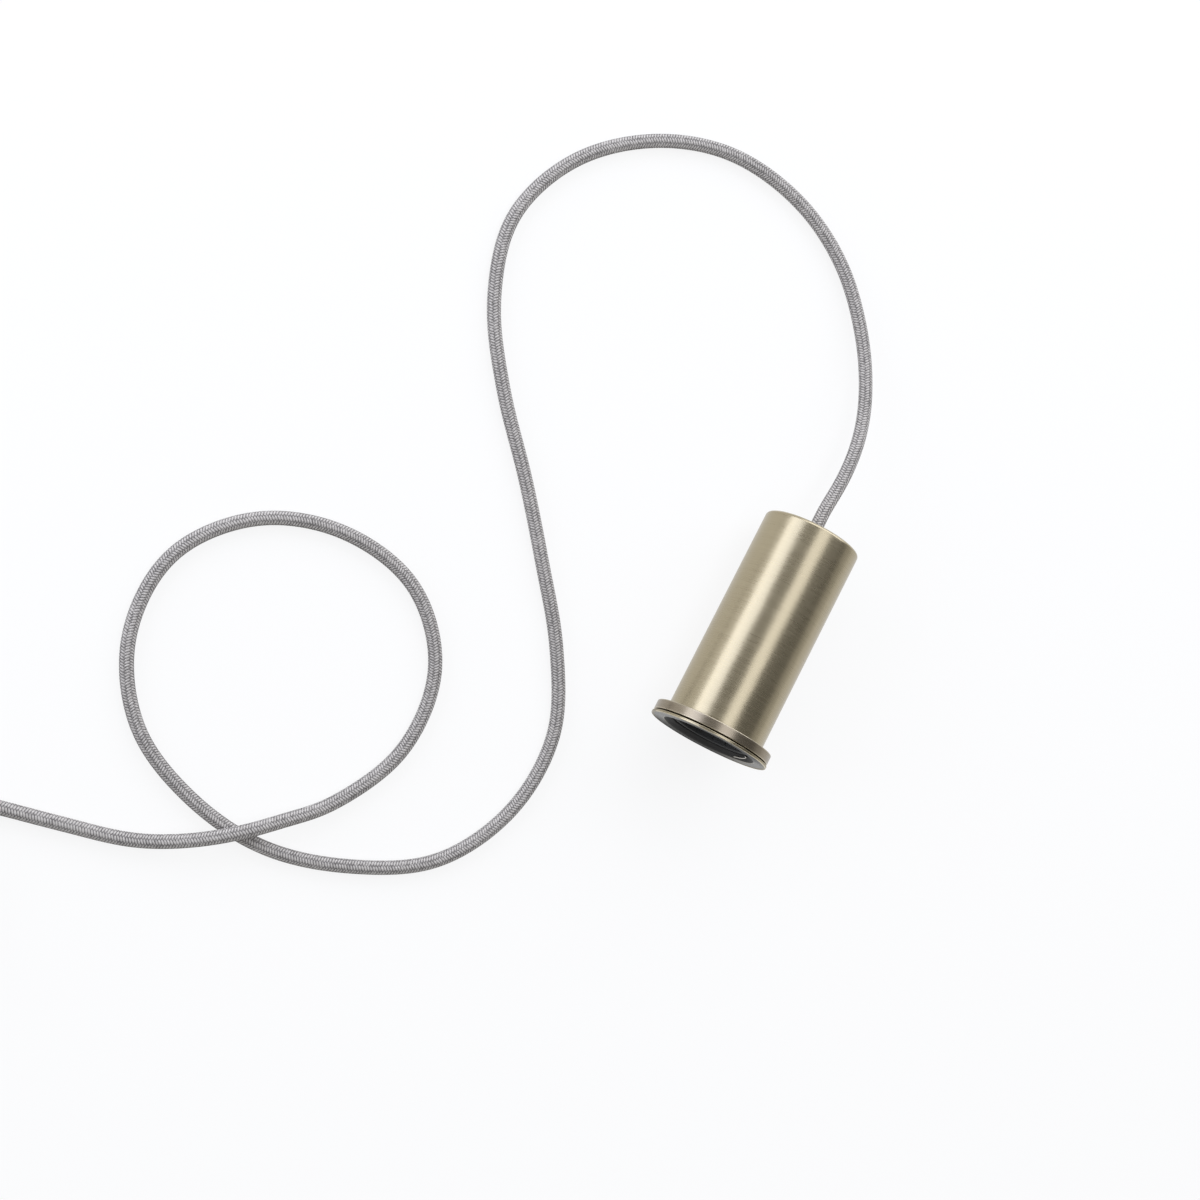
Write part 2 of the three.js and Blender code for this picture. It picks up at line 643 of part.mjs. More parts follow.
function innerEarthCore() {
  const start = coreStart(90);
  const barrelFront = insertFlangeFront - SEAT_GAP - LUG_THICKNESS - LUG_BARREL_LENGTH;
  return tube([
    start,
    start.clone().add(new THREE.Vector3(0, -2.4, 0.5)),
    new THREE.Vector3(0, barrelFront - 3, 6),
    new THREE.Vector3(0, barrelFront - 4, 9.6),
    new THREE.Vector3(0, barrelFront - 1.6, LUG_BARREL_Z),
    new THREE.Vector3(0, barrelFront + 3, LUG_BARREL_Z),
  ], CORE_RADIUS, 8, 16);
}

function innerCord() {
  return bar(0, 0, CORD_RADIUS, SHEATH_END, bushBack - SEAT_GAP, 20);
}

// The pendant about its own axis, +Y from the opening to the closed end, laid down and centred
const pendant = new THREE.Group();
pendant.add(
  piece('housing', housing(), satinBrass),
  piece('shade_ring', shadeRing(), satinBrass),
  piece('lampholder_skirt', lampholderSkirt(), blackMoulding),
  piece('lampholder_cap', lampholderCap(), blackMoulding),
  piece('contact_block', contactBlock(), paleMoulding),
  piece('screw_shell', screwShell(), nickel),
  piece('centre_contact', centreContact(), brass),
  piece('live_rivet', rivet(LIVE_RIVET_X, CONTACT_THICKNESS), brass),
  piece('neutral_rivet', rivet(NEUTRAL_RIVET_X, SHELL_WALL), brass),
  piece('live_terminal', terminal(-1), brass),
  piece('neutral_terminal', terminal(1), brass),
  piece('live_terminal_screw', terminalScrew(-1), zincSteel),
  piece('neutral_terminal_screw', terminalScrew(1), zincSteel),
  piece('thread_insert', threadInsert(), brass),
  piece('earth_lug', earthLug(), zincSteel),
  piece('earth_screw', earthScrew(), zincSteel),
  piece('nipple', collar(NIPPLE_BORE_RADIUS, THREAD_RADIUS, nippleFront, nippleEnd, 28), zincSteel),
  piece('cap_washer', toothedWasher(CAP_WASHER_RADIUS, capWasherFront), zincSteel),
  piece('lock_nut', hexNut(), zincSteel),
  piece('cord_grip', cordGrip(), paleMoulding),
  piece('grip_jaw', gripJaw(), paleMoulding),
  piece('grip_screw', gripScrew(), zincSteel),
  piece('top_washer', toothedWasher(TOP_WASHER_RADIUS, topWasherBack - WASHER_THICKNESS), zincSteel),
  piece('cord_bush', cordBush(), blackMoulding),
  piece('inner_cord', innerCord(), braid),
  piece('live_core', terminalCore(-1), brownCore),
  piece('neutral_core', terminalCore(1), blueCore),
  piece('earth_core', innerEarthCore(), earthCore),
);
pendant.rotation.x = -tilt;
pendant.position.z = axisHeight;
pendant.updateMatrixWorld(true);
const lying = new THREE.Box3().setFromObject(pendant, true);
pendant.position.y = -(lying.min.y + lying.max.y) / 2;
pendant.updateMatrixWorld(true);

// The free cord: from the bush along the route to the side of the coil
function exitPoint(beyond) {
  return pendant.localToWorld(new THREE.Vector3(0, bushBack + beyond, 0));
}

const coilWall = COIL_PITCH / 2;
const coilOuter = COIL_RADIUS + ((COIL_COLUMNS - 1) / 2) * COIL_PITCH + coilWall;
const coilInner = COIL_RADIUS - ((COIL_COLUMNS - 1) / 2) * COIL_PITCH - coilWall;
const coilBase = TIE_THICKNESS + SEAT_GAP;
const coilTop = coilBase + COIL_LAYERS * COIL_PITCH;
const sleeveRadius = CORD_RADIUS + SEAT_GAP + SLEEVE_WALL;
const sleeveHeight = sleeveRadius + CORD_LIE;
const ferruleDrop = sleeveHeight - FERRULE_COLLAR_RADIUS - CORD_LIE;

// A point by its angle round the coil, its distance from the centre and its height
function coilPoint(angleDeg, radius, height) {
  const angle = THREE.MathUtils.degToRad(COIL_ENTRY_ANGLE + angleDeg);
  return new THREE.Vector3(
    COIL_CENTRE.x + radius * Math.cos(angle),
    COIL_CENTRE.y + radius * Math.sin(angle),
    height,
  );
}

// The straight run that meets the outer turn, stopped where its side comes to the coil's wall
function coilApproach() {
  const turn = coilOuter - coilWall;
  const clear = coilOuter + CORD_RADIUS + SEAT_GAP;
  const run = Math.sqrt(clear * clear - turn * turn);
  const angle = THREE.MathUtils.degToRad(COIL_ENTRY_ANGLE);
  return coilPoint(0, turn, coilBase + coilWall)
    .add(new THREE.Vector3(Math.sin(angle) * run, -Math.cos(angle) * run, 0));
}

function cordTube() {
  const fixed = ROUTE.map(([x, y, z]) => new THREE.Vector3(x, y, z));
  return tube([exitPoint(0), exitPoint(EXIT_STRAIGHT), ...fixed, coilApproach()],
    CORD_RADIUS, CORD_SIDES, CORD_STEPS);
}

function cordCoil() {
  const ring = turned([
    [coilInner, coilBase], [coilOuter, coilBase], [coilOuter, coilTop], [coilInner, coilTop],
  ], 48);
  return ring.rotateX(Math.PI / 2).translate(COIL_CENTRE.x, COIL_CENTRE.y, 0);
}

const tailRadius = coilOuter + CORD_RADIUS + SEAT_GAP;

// The end of the cord comes down outside the coil and runs off straight
function tailPath() {
  const points = [];
  const topHeight = coilBase + COIL_PITCH + coilWall;
  for (let angle = TAIL_START; angle <= TAIL_END; angle += (TAIL_END - TAIL_START) / 8) {
    const share = THREE.MathUtils.smoothstep(angle, TAIL_START, TAIL_START + COIL_STEP_ANGLE);
    points.push(coilPoint(angle, tailRadius, THREE.MathUtils.lerp(topHeight, sleeveHeight, share)));
  }
  points.push(points[points.length - 1].clone().addScaledVector(tailDirection, TAIL_STRAIGHT));
  return points;
}

const tailHeading = THREE.MathUtils.degToRad(COIL_ENTRY_ANGLE + TAIL_END + 90);
const tailDirection = new THREE.Vector3(Math.cos(tailHeading), Math.sin(tailHeading), 0);

function coilTie() {
  const band = TIE_THICKNESS;
  const half = TIE_WIDTH / 2;
  const inner = Math.sqrt(coilInner ** 2 - half ** 2) - SEAT_GAP;
  const outer = coilOuter + SEAT_GAP;
  const shape = new THREE.Shape([
    new THREE.Vector2(inner - band, 0),
    new THREE.Vector2(outer + band, 0),
    new THREE.Vector2(outer + band, coilTop + SEAT_GAP + band),
    new THREE.Vector2(inner - band, coilTop + SEAT_GAP + band),
  ]);
  shape.holes.push(new THREE.Path([
    new THREE.Vector2(inner, band),
    new THREE.Vector2(inner, coilTop + SEAT_GAP),
    new THREE.Vector2(outer, coilTop + SEAT_GAP),
    new THREE.Vector2(outer, band),
  ]));
  return new THREE.ExtrudeGeometry(shape, { depth: TIE_WIDTH, bevelEnabled: false })
    .translate(0, 0, -half)
    .rotateX(Math.PI / 2)
    .rotateZ(THREE.MathUtils.degToRad(TIE_ANGLE))
    .translate(COIL_CENTRE.x, COIL_CENTRE.y, 0);
}

// The finished end in its own frame: +Y onwards from the cord's end, origin at the sleeve's start
const cordEnd = new THREE.Group();

function endSleeve() {
  const bore = CORD_RADIUS + SEAT_GAP;
  return turned([
    [bore, 0],
    [sleeveRadius, 0],
    [sleeveRadius, SLEEVE_OVERLAP],
    [SLEEVE_TIP_RADIUS, SLEEVE_LENGTH - 5],
    [SLEEVE_TIP_RADIUS, SLEEVE_LENGTH],
    [0, SLEEVE_LENGTH],
    [0, SLEEVE_OVERLAP],
    [bore, SLEEVE_OVERLAP],
  ], 24);
}

const ferruleStart = SLEEVE_LENGTH + SEAT_GAP + TAIL_CORE_LENGTH;

// Each core fans out from the sleeve and comes down to the floor at its ferrule
function tailCore(side) {
  const start = SLEEVE_LENGTH + SEAT_GAP;
  const x = side * (2 * CORE_RADIUS + SEAT_GAP);
  const fan = side * TAIL_CORE_FAN + x;
  return tube([
    new THREE.Vector3(x * 0.95, start, 0),
    new THREE.Vector3(x, start + TAIL_CORE_LENGTH * 0.15, -ferruleDrop * 0.1),
    new THREE.Vector3((x + fan) / 2, start + TAIL_CORE_LENGTH * 0.5, -ferruleDrop * 0.7),
    new THREE.Vector3(fan, start + TAIL_CORE_LENGTH * 0.86, -ferruleDrop),
    new THREE.Vector3(fan, start + TAIL_CORE_LENGTH, -ferruleDrop),
  ], CORE_RADIUS, 8, 14);
}

function ferrule(side) {
  const start = ferruleStart + SEAT_GAP;
  const collarEnd = start + FERRULE_COLLAR_LENGTH;
  const fan = side * (TAIL_CORE_FAN + 2 * CORE_RADIUS + SEAT_GAP);
  return turned([
    [0, start],
    [FERRULE_COLLAR_RADIUS, start],
    [FERRULE_COLLAR_RADIUS, collarEnd - 1.5],
    [FERRULE_PIN_RADIUS, collarEnd],
    [FERRULE_PIN_RADIUS, collarEnd + FERRULE_PIN_LENGTH],
    [0, collarEnd + FERRULE_PIN_LENGTH],
  ], 16).translate(fan, 0, -ferruleDrop);
}

cordEnd.add(
  piece('end_sleeve', endSleeve(), blackMoulding),
  piece('tail_live', tailCore(-1), brownCore),
  piece('tail_neutral', tailCore(1), blueCore),
  piece('tail_earth', tailCore(0), earthCore),
  piece('live_ferrule', ferrule(-1), whiteCollar),
  piece('neutral_ferrule', ferrule(1), whiteCollar),
  piece('earth_ferrule', ferrule(0), whiteCollar),
);
const tail = tailPath();
const tailTip = tail[tail.length - 1];
cordEnd.position.copy(tailTip).addScaledVector(tailDirection, SEAT_GAP - SLEEVE_OVERLAP);
cordEnd.rotation.z = tailHeading - Math.PI / 2;

const pendantCordSet = new THREE.Group();
pendantCordSet.add(
  pendant,
  piece('cord', cordTube(), braid),
  piece('cord_coil', cordCoil(), braid),
  piece('cord_tail', tube(tail, CORD_RADIUS, CORD_SIDES, 14), braid),
  piece('cord_tie', coilTie(), blackMoulding),
  cordEnd,
);

export default pendantCordSet;
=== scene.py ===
"""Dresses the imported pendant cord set: a brushed brass cup with its shade ring and lamp holder, a braided
cord that runs over the floor into a tied coil, and the studio around them. Metres, +Z up."""

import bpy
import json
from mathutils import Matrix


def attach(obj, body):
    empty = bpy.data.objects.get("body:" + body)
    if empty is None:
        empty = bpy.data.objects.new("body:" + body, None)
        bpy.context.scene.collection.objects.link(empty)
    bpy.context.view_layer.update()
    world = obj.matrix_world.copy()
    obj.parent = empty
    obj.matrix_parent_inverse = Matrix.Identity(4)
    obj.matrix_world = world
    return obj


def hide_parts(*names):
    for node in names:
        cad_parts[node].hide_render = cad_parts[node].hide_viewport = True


bl_info = {
    "name": "Pendant Cord Set",
    "version": (1, 0, 0),
    "blender": (4, 5, 0),
    "location": "3D View > Sidebar > Pendant",
    "description": "Builds a lamp holder pendant, its braided cord and a studio around the packed model",
    "category": "Add Mesh",
}

import json
import math

import bmesh
import bpy
import numpy as np
from bpy.props import FloatProperty, FloatVectorProperty, IntProperty, PointerProperty
from mathutils import Matrix, Vector

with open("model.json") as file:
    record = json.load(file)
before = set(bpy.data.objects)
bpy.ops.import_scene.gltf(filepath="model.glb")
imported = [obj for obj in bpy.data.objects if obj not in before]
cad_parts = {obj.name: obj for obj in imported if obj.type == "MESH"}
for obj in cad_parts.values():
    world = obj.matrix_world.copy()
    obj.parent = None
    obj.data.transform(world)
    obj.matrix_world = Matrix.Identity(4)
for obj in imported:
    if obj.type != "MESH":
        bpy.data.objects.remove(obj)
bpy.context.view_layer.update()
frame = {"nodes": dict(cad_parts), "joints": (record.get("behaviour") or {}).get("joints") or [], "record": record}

MERGE_DISTANCE = 1e-6
# Between pieces that seat on each other, and between the cord and the floor
SEAT_GAP = 0.0003
FLOOR_GAP = 0.00005
# How far bright wear and a painted edge highlight reach from a worn edge
WEAR_AND_HIGHLIGHT_REACH = 0.0007
# How far a thread's wall may be from its radius, and how much its crests are flattened
THREAD_REACH = 0.0004
FLAT_CREST = 1.6
# Half the width of the coil's bundle, in turns
HALF_BUNDLE = 1.5
# Passes that ease the bends of the route
ROUTE_SMOOTHING = 30

# The cord's route over the floor from the cup to the coil, as the CAD tube runs
ROUTE = [
    (0.0016, 0.085, 0.0206), (0.0007, 0.1054, 0.0166), (-0.0044, 0.1245, 0.0125), (-0.0182, 0.1498, 0.0073),
    (-0.043, 0.1749, 0.0042), (-0.0751, 0.1894, 0.0034), (-0.115, 0.1911, 0.00325),
    (-0.1509, 0.1759, 0.00325), (-0.1791, 0.1471, 0.00325), (-0.1907, 0.11, 0.00325),
    (-0.1798, 0.0728, 0.00325), (-0.1562, 0.0402, 0.00325), (-0.128, 0.0109, 0.00325),
    (-0.1019, -0.0188, 0.00325), (-0.0766, -0.0496, 0.00325), (-0.0582, -0.0846, 0.00325),
    (-0.0589, -0.1239, 0.00325), (-0.0781, -0.1594, 0.00325), (-0.1118, -0.1798, 0.00325),
    (-0.1508, -0.1903, 0.00325), (-0.1898, -0.1861, 0.00325), (-0.2253, -0.1695, 0.00325),
    (-0.2477, -0.1368, 0.00325), (-0.2489, -0.0975, 0.00325), (-0.2252, -0.0659, 0.00325),
    (-0.1885, -0.0517, 0.00325), (-0.1489, -0.0571, 0.00325), (-0.1219, -0.0844, 0.00325),
    (-0.117, -0.1235, 0.00345), (-0.1337, -0.1594, 0.0042), (-0.1498, -0.1756, 0.0072),
    (-0.166, -0.19, 0.00995), (-0.1835, -0.203, 0.0072), (-0.2035, -0.2133, 0.0042),
    (-0.2326, -0.2206, 0.0035), (-0.2559, -0.2257, 0.0035),
]


def metres(name, description, value):
    return FloatProperty(name=name, description=description, default=value, unit="LENGTH", precision=5)


def degrees(name, description, value):
    return FloatProperty(name=name, description=description, default=math.radians(value), subtype="ANGLE")


def colour(name, description, value):
    return FloatVectorProperty(
        name=name, description=description, default=(*value, 1.0), size=4, subtype="COLOR", min=0, max=1)


def level(name, description, value):
    return FloatProperty(name=name, description=description, default=value, min=0)


def light_colour(name, description, value):
    return FloatVectorProperty(
        name=name, description=description, default=value, size=3, subtype="COLOR", min=0, max=2)


class CupSizes(bpy.types.PropertyGroup):
    """Metal cup: tube, flange and closed end in one piece"""

    length: metres("Length", "From the shade ring's face to the closed end", 0.108)
    tube_radius: metres("Tube radius", "Outside radius of the tube", 0.0235)
    tube_wall: metres("Tube wall", "Thickness of the tube's wall", 0.0015)
    end_thickness: metres("End thickness", "Thickness of the closed end", 0.003)
    end_edge: metres("End edge", "Radius of the closed end's outer edge", 0.0016)
    flange_front: metres("Flange front", "Station of the flange's front face", 0.00185)
    flange_radius: metres("Flange radius", "Outside radius of the flange", 0.0287)
    flange_thickness: metres("Flange thickness", "Thickness of the flange", 0.0046)
    flange_edge: metres("Flange edge", "Radius of the flange's edges", 0.0004)
    joint_groove: metres("Joint groove", "Depth of the fine line where the tube meets the flange", 0.00018)
    cord_hole: metres("Cord hole", "Radius of the hole in the closed end", 0.0053)


class RingSizes(bpy.types.PropertyGroup):
    """Shade ring: a rim in front of the flange and a threaded collar inside the tube"""

    radius: metres("Radius", "Outside radius of the rim", 0.029)
    rim: metres("Rim thickness", "Thickness of the rim", 0.00115)
    rim_land: metres("Rim land", "Width of the rim behind its groove", 0.0004)
    groove_width: metres("Groove width", "Width of the fine groove round the rim", 0.0003)
    edge: metres("Edge", "Radius of the rim's front edge", 0.00035)
    rim_groove: metres("Rim groove", "Depth of the fine groove round the rim", 0.0002)
    lip: metres("Lip", "Width of the raised line round the face", 0.0009)
    lip_depth: metres("Lip depth", "Step from the raised line down to the face", 0.0002)
    mouth_radius: metres("Mouth radius", "Radius of the opening at the face", 0.0227)
    mouth_depth: metres("Mouth depth", "Depth of the opening's cone", 0.0024)
    bore_radius: metres("Bore radius", "Inside radius of the collar", 0.0202)
    collar_radius: metres("Collar radius", "Outside radius of the collar", 0.0217)
    collar_length: metres("Collar length", "Station of the collar's end", 0.009)
    thread_pitch: metres("Thread pitch", "Pitch of the thread between ring and lamp holder", 0.0025)
    thread_depth: metres("Thread depth", "Depth of that thread", 0.0007)


class HolderSizes(bpy.types.PropertyGroup):
    """E27 lamp holder: moulded skirt and rolled screw shell"""

    radius: metres("Radius", "Outside radius of the skirt", 0.0199)
    front: metres("Front", "Station of the skirt's mouth", 0.0028)
    back: metres("Back", "Station of the skirt's rear end", 0.046)
    mouth_radius: metres("Mouth radius", "Inside radius of the skirt's mouth", 0.0174)
    mouth_end: metres("Mouth end", "Station where the mouth starts to taper", 0.0082)
    bore_radius: metres("Bore radius", "Inside radius behind the mouth", 0.0152)
    rear_radius: metres("Rear radius", "Inside radius of the rear thread", 0.0182)
    ledge: metres("Ledge", "Station of the ledge that the contact block seats on", 0.028)
    ribs: IntProperty(name="Ribs", description="Moulded ribs inside the mouth", default=16, min=1)
    rib_height: metres("Rib height", "How far a rib stands into the mouth", 0.0006)
    shell_front: metres("Shell front", "Station of the screw shell's lip", 0.0082)
    shell_floor: metres("Shell floor", "Station of the screw shell's floor", 0.0232)
    shell_radius: metres("Shell radius", "Inside radius of the screw shell", 0.0133)
    shell_wall: metres("Shell wall", "Thickness of the rolled sheet", 0.0005)
    shell_lip: metres("Shell lip", "How far the shell's lip is flared", 0.0005)
    shell_pitch: metres("Shell pitch", "Pitch of the lamp's rolled thread", 0.0036)
    shell_wave: metres("Shell wave", "Depth of the lamp's rolled thread", 0.0008)
    shell_hole: metres("Shell hole", "Radius of the hole in the shell's floor", 0.0076)


class CordSizes(bpy.types.PropertyGroup):
    """Braided cord, the coil of its spare length, its tie and its wired end"""

    radius: metres("Radius", "Radius over the braid", 0.0032)
    length: metres("Length", "Whole length of the cord", 2.58)
    exit_station: metres("Exit", "Station of the bush that the cord leaves", 0.1095)
    exit_straight: metres("Straight exit", "Length of the cord that leaves straight", 0.012)
    bush_radius: metres("Bush radius", "Radius of the bush's flange", 0.0066)
    sides: IntProperty(name="Sides", description="Sides of the cord's mesh", default=24, min=8)
    step: metres("Step", "Distance between the rings of the cord's mesh", 0.00125)
    coil_x: metres("Coil X", "Middle of the coil on the floor", -0.2988)
    coil_y: metres("Coil Y", "Middle of the coil on the floor", -0.2788)
    coil_radius: metres("Coil radius", "Radius at the middle of the turns", 0.036)
    coil_pitch: metres("Coil pitch", "Distance between turns that lie beside or on each other", 0.0065)
    coil_lift: metres("Coil lift", "How far the tie lifts the coil off the floor", 0.0011)
    coil_entry: degrees("Coil entry", "Direction from the coil's middle to where the cord joins it", 102.4)
    tail_straight: metres("Tail", "Straight length at the cord's end", 0.022)
    tie_angle: degrees("Tie angle", "Direction from the coil's middle to the tie", 322)
    tie_width: metres("Tie width", "Width of the strap", 0.012)
    tie_thickness: metres("Tie thickness", "Thickness of the strap", 0.0008)
    tie_bend: metres("Tie bend", "Radius of the strap where it turns round the bundle", 0.0028)


class EndSizes(bpy.types.PropertyGroup):
    """Wired end of the cord: sleeve, three cores and their ferrules"""

    overlap: metres("Overlap", "Length of the cord inside the sleeve", 0.01)
    sleeve_radius: metres("Sleeve radius", "Radius of the sleeve over the braid", 0.004)
    sleeve_length: metres("Sleeve length", "Length of the sleeve", 0.022)
    sheath_radius: metres("Sheath radius", "Radius of the sleeve where the braid has ended", 0.0031)
    core_radius: metres("Core radius", "Radius of an insulated core", 0.0012)
    core_length: metres("Core length", "Length of a core outside the sleeve", 0.03)
    fan: metres("Fan", "How far an outer core spreads sideways", 0.005)
    collar_radius: metres("Collar radius", "Radius of a ferrule's collar", 0.0016)
    collar_length: metres("Collar length", "Length of a ferrule's collar", 0.006)
    pin_radius: metres("Pin radius", "Radius of a ferrule's pin", 0.00075)
    pin_length: metres("Pin length", "Length of a ferrule's pin", 0.008)


class Finishes(bpy.types.PropertyGroup):
    """Colours of the finishes"""

    brass: colour("Satin brass", "Brushed antique brass of the cup", (0.385, 0.333, 0.228))
    flange: colour("Flange", "Browner brass of the flange", (0.278, 0.237, 0.179))
    # Brighter brass on the edges: partly wear, partly a painted highlight
    worn_and_highlit_brass: colour("Worn brass", "Brighter brass on the handled edges", (0.60, 0.54, 0.42))
    ring_face: colour("Ring face", "Greyer metal of the ring's face", (0.27, 0.265, 0.255))
    ring_inside: colour("Ring inside", "Dull black of the ring's bore", (0.021, 0.02, 0.019))
    black: colour("Black moulding", "Moulded lamp holder, bush and sleeve", (0.013, 0.012, 0.0115))
    pale: colour("Pale moulding", "Moulded contact block and cord grip", (0.62, 0.59, 0.52))
    nickel: colour("Nickel", "Plated screw shell", (0.62, 0.59, 0.54))
    bright_brass: colour("Bright brass", "Contacts and terminals", (0.72, 0.53, 0.24))
    zinc: colour("Zinc", "Plated steel screws and washers", (0.55, 0.56, 0.58))
    braid_light: colour("Light yarn", "Raised yarns of the braid", (0.525, 0.497, 0.462))
    # Painted shade in the braid's hollows, not a colour of its yarns
    braid_hollow_shade: colour("Dark yarn", "Hollows of the braid", (0.17, 0.159, 0.151))
    strap: colour("Strap", "Woven tie", (0.021, 0.02, 0.019))
    thread: colour("Stitching", "Thread of the tie's stitches", (0.14, 0.14, 0.145))
    brown: colour("Brown core", "Insulation of the live core", (0.12, 0.045, 0.018))
    blue: colour("Blue core", "Insulation of the neutral core", (0.02, 0.10, 0.38))
    green: colour("Green core", "Insulation of the earth core", (0.03, 0.23, 0.045))
    yellow: colour("Yellow stripe", "Stripe of the earth core", (0.72, 0.55, 0.03))
    collar: colour("Ferrule collar", "Moulded collar of a ferrule", (0.70, 0.68, 0.62))
    tin: colour("Tin", "Tinned pin of a ferrule", (0.46, 0.46, 0.45))
    floor: colour("Floor", "Studio floor", (0.86, 0.86, 0.86))


class StudioLevels(bpy.types.PropertyGroup):
    """Camera and light"""

    lens: FloatProperty(name="Lens", description="Focal length in millimetres", default=66)
    camera_place: FloatVectorProperty(
        name="Camera", description="Where the camera stands", default=(-0.34739, -0.13505, 0.96828),
        subtype="TRANSLATION")
    camera_turn: FloatVectorProperty(
        name="Camera turn", description="How the camera is turned",
        default=(math.radians(-2.134), math.radians(-17.185), math.radians(29.621)), subtype="EULER")
    key: level("Key light", "Brightness of the soft light on the left", 2.32)
    top: level("Top light", "Brightness of the soft light overhead", 1.95)
    back: level("Back light", "Brightness of the soft light behind the closed end", 2.5)
    horizon: level("Horizon", "Brightness of the room low on the key light's side", 0.85)
    far_horizon: level("Far horizon", "Brightness of the room low on the other side", 0.6)
    near_ceiling: level("Near ceiling", "Brightness of the room overhead on the key light's side", 0.34)
    ceiling: level("Ceiling", "Brightness of the room overhead on the other side", 0.19)
    key_tint: light_colour("Key tint", "Colour of the soft light on the left", (0.92, 0.98, 1.17))
    tint: light_colour("Light tint", "Colour of the other soft lights", (0.95, 0.98, 1.08))
    floor_white: FloatProperty(
        name="Floor white", description="Share of the floor's brightness that takes no shadow",
        default=0.85, min=0, max=1)


class PendantSettings(bpy.types.PropertyGroup):
    """Everything that can be set on the pendant cord set"""

    cup: PointerProperty(type=CupSizes)
    ring: PointerProperty(type=RingSizes)
    holder: PointerProperty(type=HolderSizes)
    cord: PointerProperty(type=CordSizes)
    end: PointerProperty(type=EndSizes)
    finishes: PointerProperty(type=Finishes)
    studio: PointerProperty(type=StudioLevels)


def settings():
    return bpy.context.scene.pendant_cord_set


def lying_frame():
    """Matrix from the pendant's own frame, with +Y from the opening to the closed end, to the row frame."""
    slide = Vector(frame["joints"][0]["axis"]).normalized()
    face = frame["record"]["mounts"][0]["pos_m"]
    side = Vector((1, 0, 0))
    turn = Matrix((side, -slide, side.cross(-slide))).transposed()
    return Matrix.Translation((0, face[1], face[2])) @ turn.to_4x4()


LYING = lying_frame()


class Value:
    """One output in a node tree. Arithmetic on it adds Math nodes."""

    def __init__(self, nodes, socket):
        self.nodes = nodes
        self.socket = socket

    def output(self, name):
        return Value(self.nodes, self.socket.node.outputs[name])

    def math(self, operation, *others):
        return self.nodes.math(operation, self, *others)

    def clamp(self, low, high):
        return self.math("MINIMUM", high).math("MAXIMUM", low)

    def ridge(self):
        """Rises from 0 to 1 and falls to 0 again, between each whole number and the next."""
        return 1 - (self.math("FRACT") - 0.5).math("ABSOLUTE") * 2

    def __add__(self, other):
        return self.math("ADD", other)

    def __radd__(self, other):
        return self.nodes.math("ADD", other, self)

    def __sub__(self, other):
        return self.math("SUBTRACT", other)

    def __rsub__(self, other):
        return self.nodes.math("SUBTRACT", other, self)

    def __mul__(self, other):
        return self.math("MULTIPLY", other)

    def __rmul__(self, other):
        return self.nodes.math("MULTIPLY", other, self)

    def __truediv__(self, other):
        return self.math("DIVIDE", other)

    def __rtruediv__(self, other):
        return self.nodes.math("DIVIDE", other, self)


class Nodes:
    """The nodes of one tree, a material's or a Geometry Nodes group's."""

    def __init__(self, tree):
        tree.nodes.clear()
        self.tree = tree

    def add(self, kind, options=None, sockets=None, output=0):
        """Adds a node: its settings first, then the values or links of its sockets."""
        node = self.tree.nodes.new(kind)
        for name, value in (options or {}).items():
            setattr(node, name, value)
        for name, value in (sockets or {}).items():
            if isinstance(value, Value):
                self.tree.links.new(value.socket, node.inputs[name])
            else:
                node.inputs[name].default_value = value
        return Value(self, node.outputs[output]) if node.outputs else node

    def math(self, operation, *values):
        return self.add("ShaderNodeMath", {"operation": operation}, dict(enumerate(values)))

    def mix(self, share, low, high):
        """Colour between two colours."""
        return self.add("ShaderNodeMix", {"data_type": "RGBA"}, {0: share, 6: low, 7: high}, output=2)

    def parts(self, vector):
        """X of a vector, with Y and Z as its other outputs."""
        return self.add("ShaderNodeSeparateXYZ", None, {0: vector})

    def noise(self, place, scales, detail=2.0, roughness=0.55):
        """Noise at a place that is scaled first, by one number or by three."""
        if not isinstance(scales, tuple):
            scales = (scales,) * 3
        scaled_place = self.add("ShaderNodeVectorMath", {"operation": "MULTIPLY"}, {0: place, 1: scales})
        return self.add("ShaderNodeTexNoise", None,
                        {"Vector": scaled_place, "Scale": 1.0, "Detail": detail, "Roughness": roughness})

    def step(self, value, low, high, to_low=0.0, to_high=1.0):
        """Smooth step from one level to another while a value goes from low to high."""
        levels = {"Value": value, "From Min": low, "From Max": high, "To Min": to_low, "To Max": to_high}
        return self.add("ShaderNodeMapRange", {"interpolation_type": "SMOOTHSTEP"}, levels)

    def bump(self, height, distance, normal=None):
        sockets = {"Height": height, "Distance": distance, "Strength": 1.0}
        if normal:
            sockets["Normal"] = normal
        return self.add("ShaderNodeBump", None, sockets)


def surface_material(name, build):
    """Material whose surface a function makes: a shader, or the sockets of a Principled one."""
    if name in bpy.data.materials:
        return bpy.data.materials[name]
    material = bpy.data.materials.new(name)
    material.use_nodes = True
    nodes = Nodes(material.node_tree)
    surface = build(nodes)
    if isinstance(surface, dict):
        surface = nodes.add("ShaderNodeBsdfPrincipled", None, surface)
    nodes.add("ShaderNodeOutputMaterial", None, {"Surface": surface})
    return material


def scaled(tint, share):
    """A colour made darker or lighter by one share."""
    return (*(min(part * share, 1.0) for part in tint[:3]), 1.0)


def object_place(nodes):
    return nodes.add("ShaderNodeTexCoord", output="Object")


def uv_place(nodes):
    """Place round a piece, with the place along it as the Y output."""
    return nodes.parts(nodes.add("ShaderNodeUVMap", {"uv_map": "UVMap"}))


def pendant_place(nodes):
    """Place in the pendant's own frame, and its distance from the axis and station along it."""
    place = nodes.add(
        "ShaderNodeMapping", {"vector_type": "TEXTURE"},
        {"Vector": object_place(nodes), "Location": LYING.translation, "Rotation": LYING.to_euler()})
    x = nodes.parts(place)
    z = x.output("Z")
    return place, (x * x + z * z).math("SQRT"), x.output("Y")


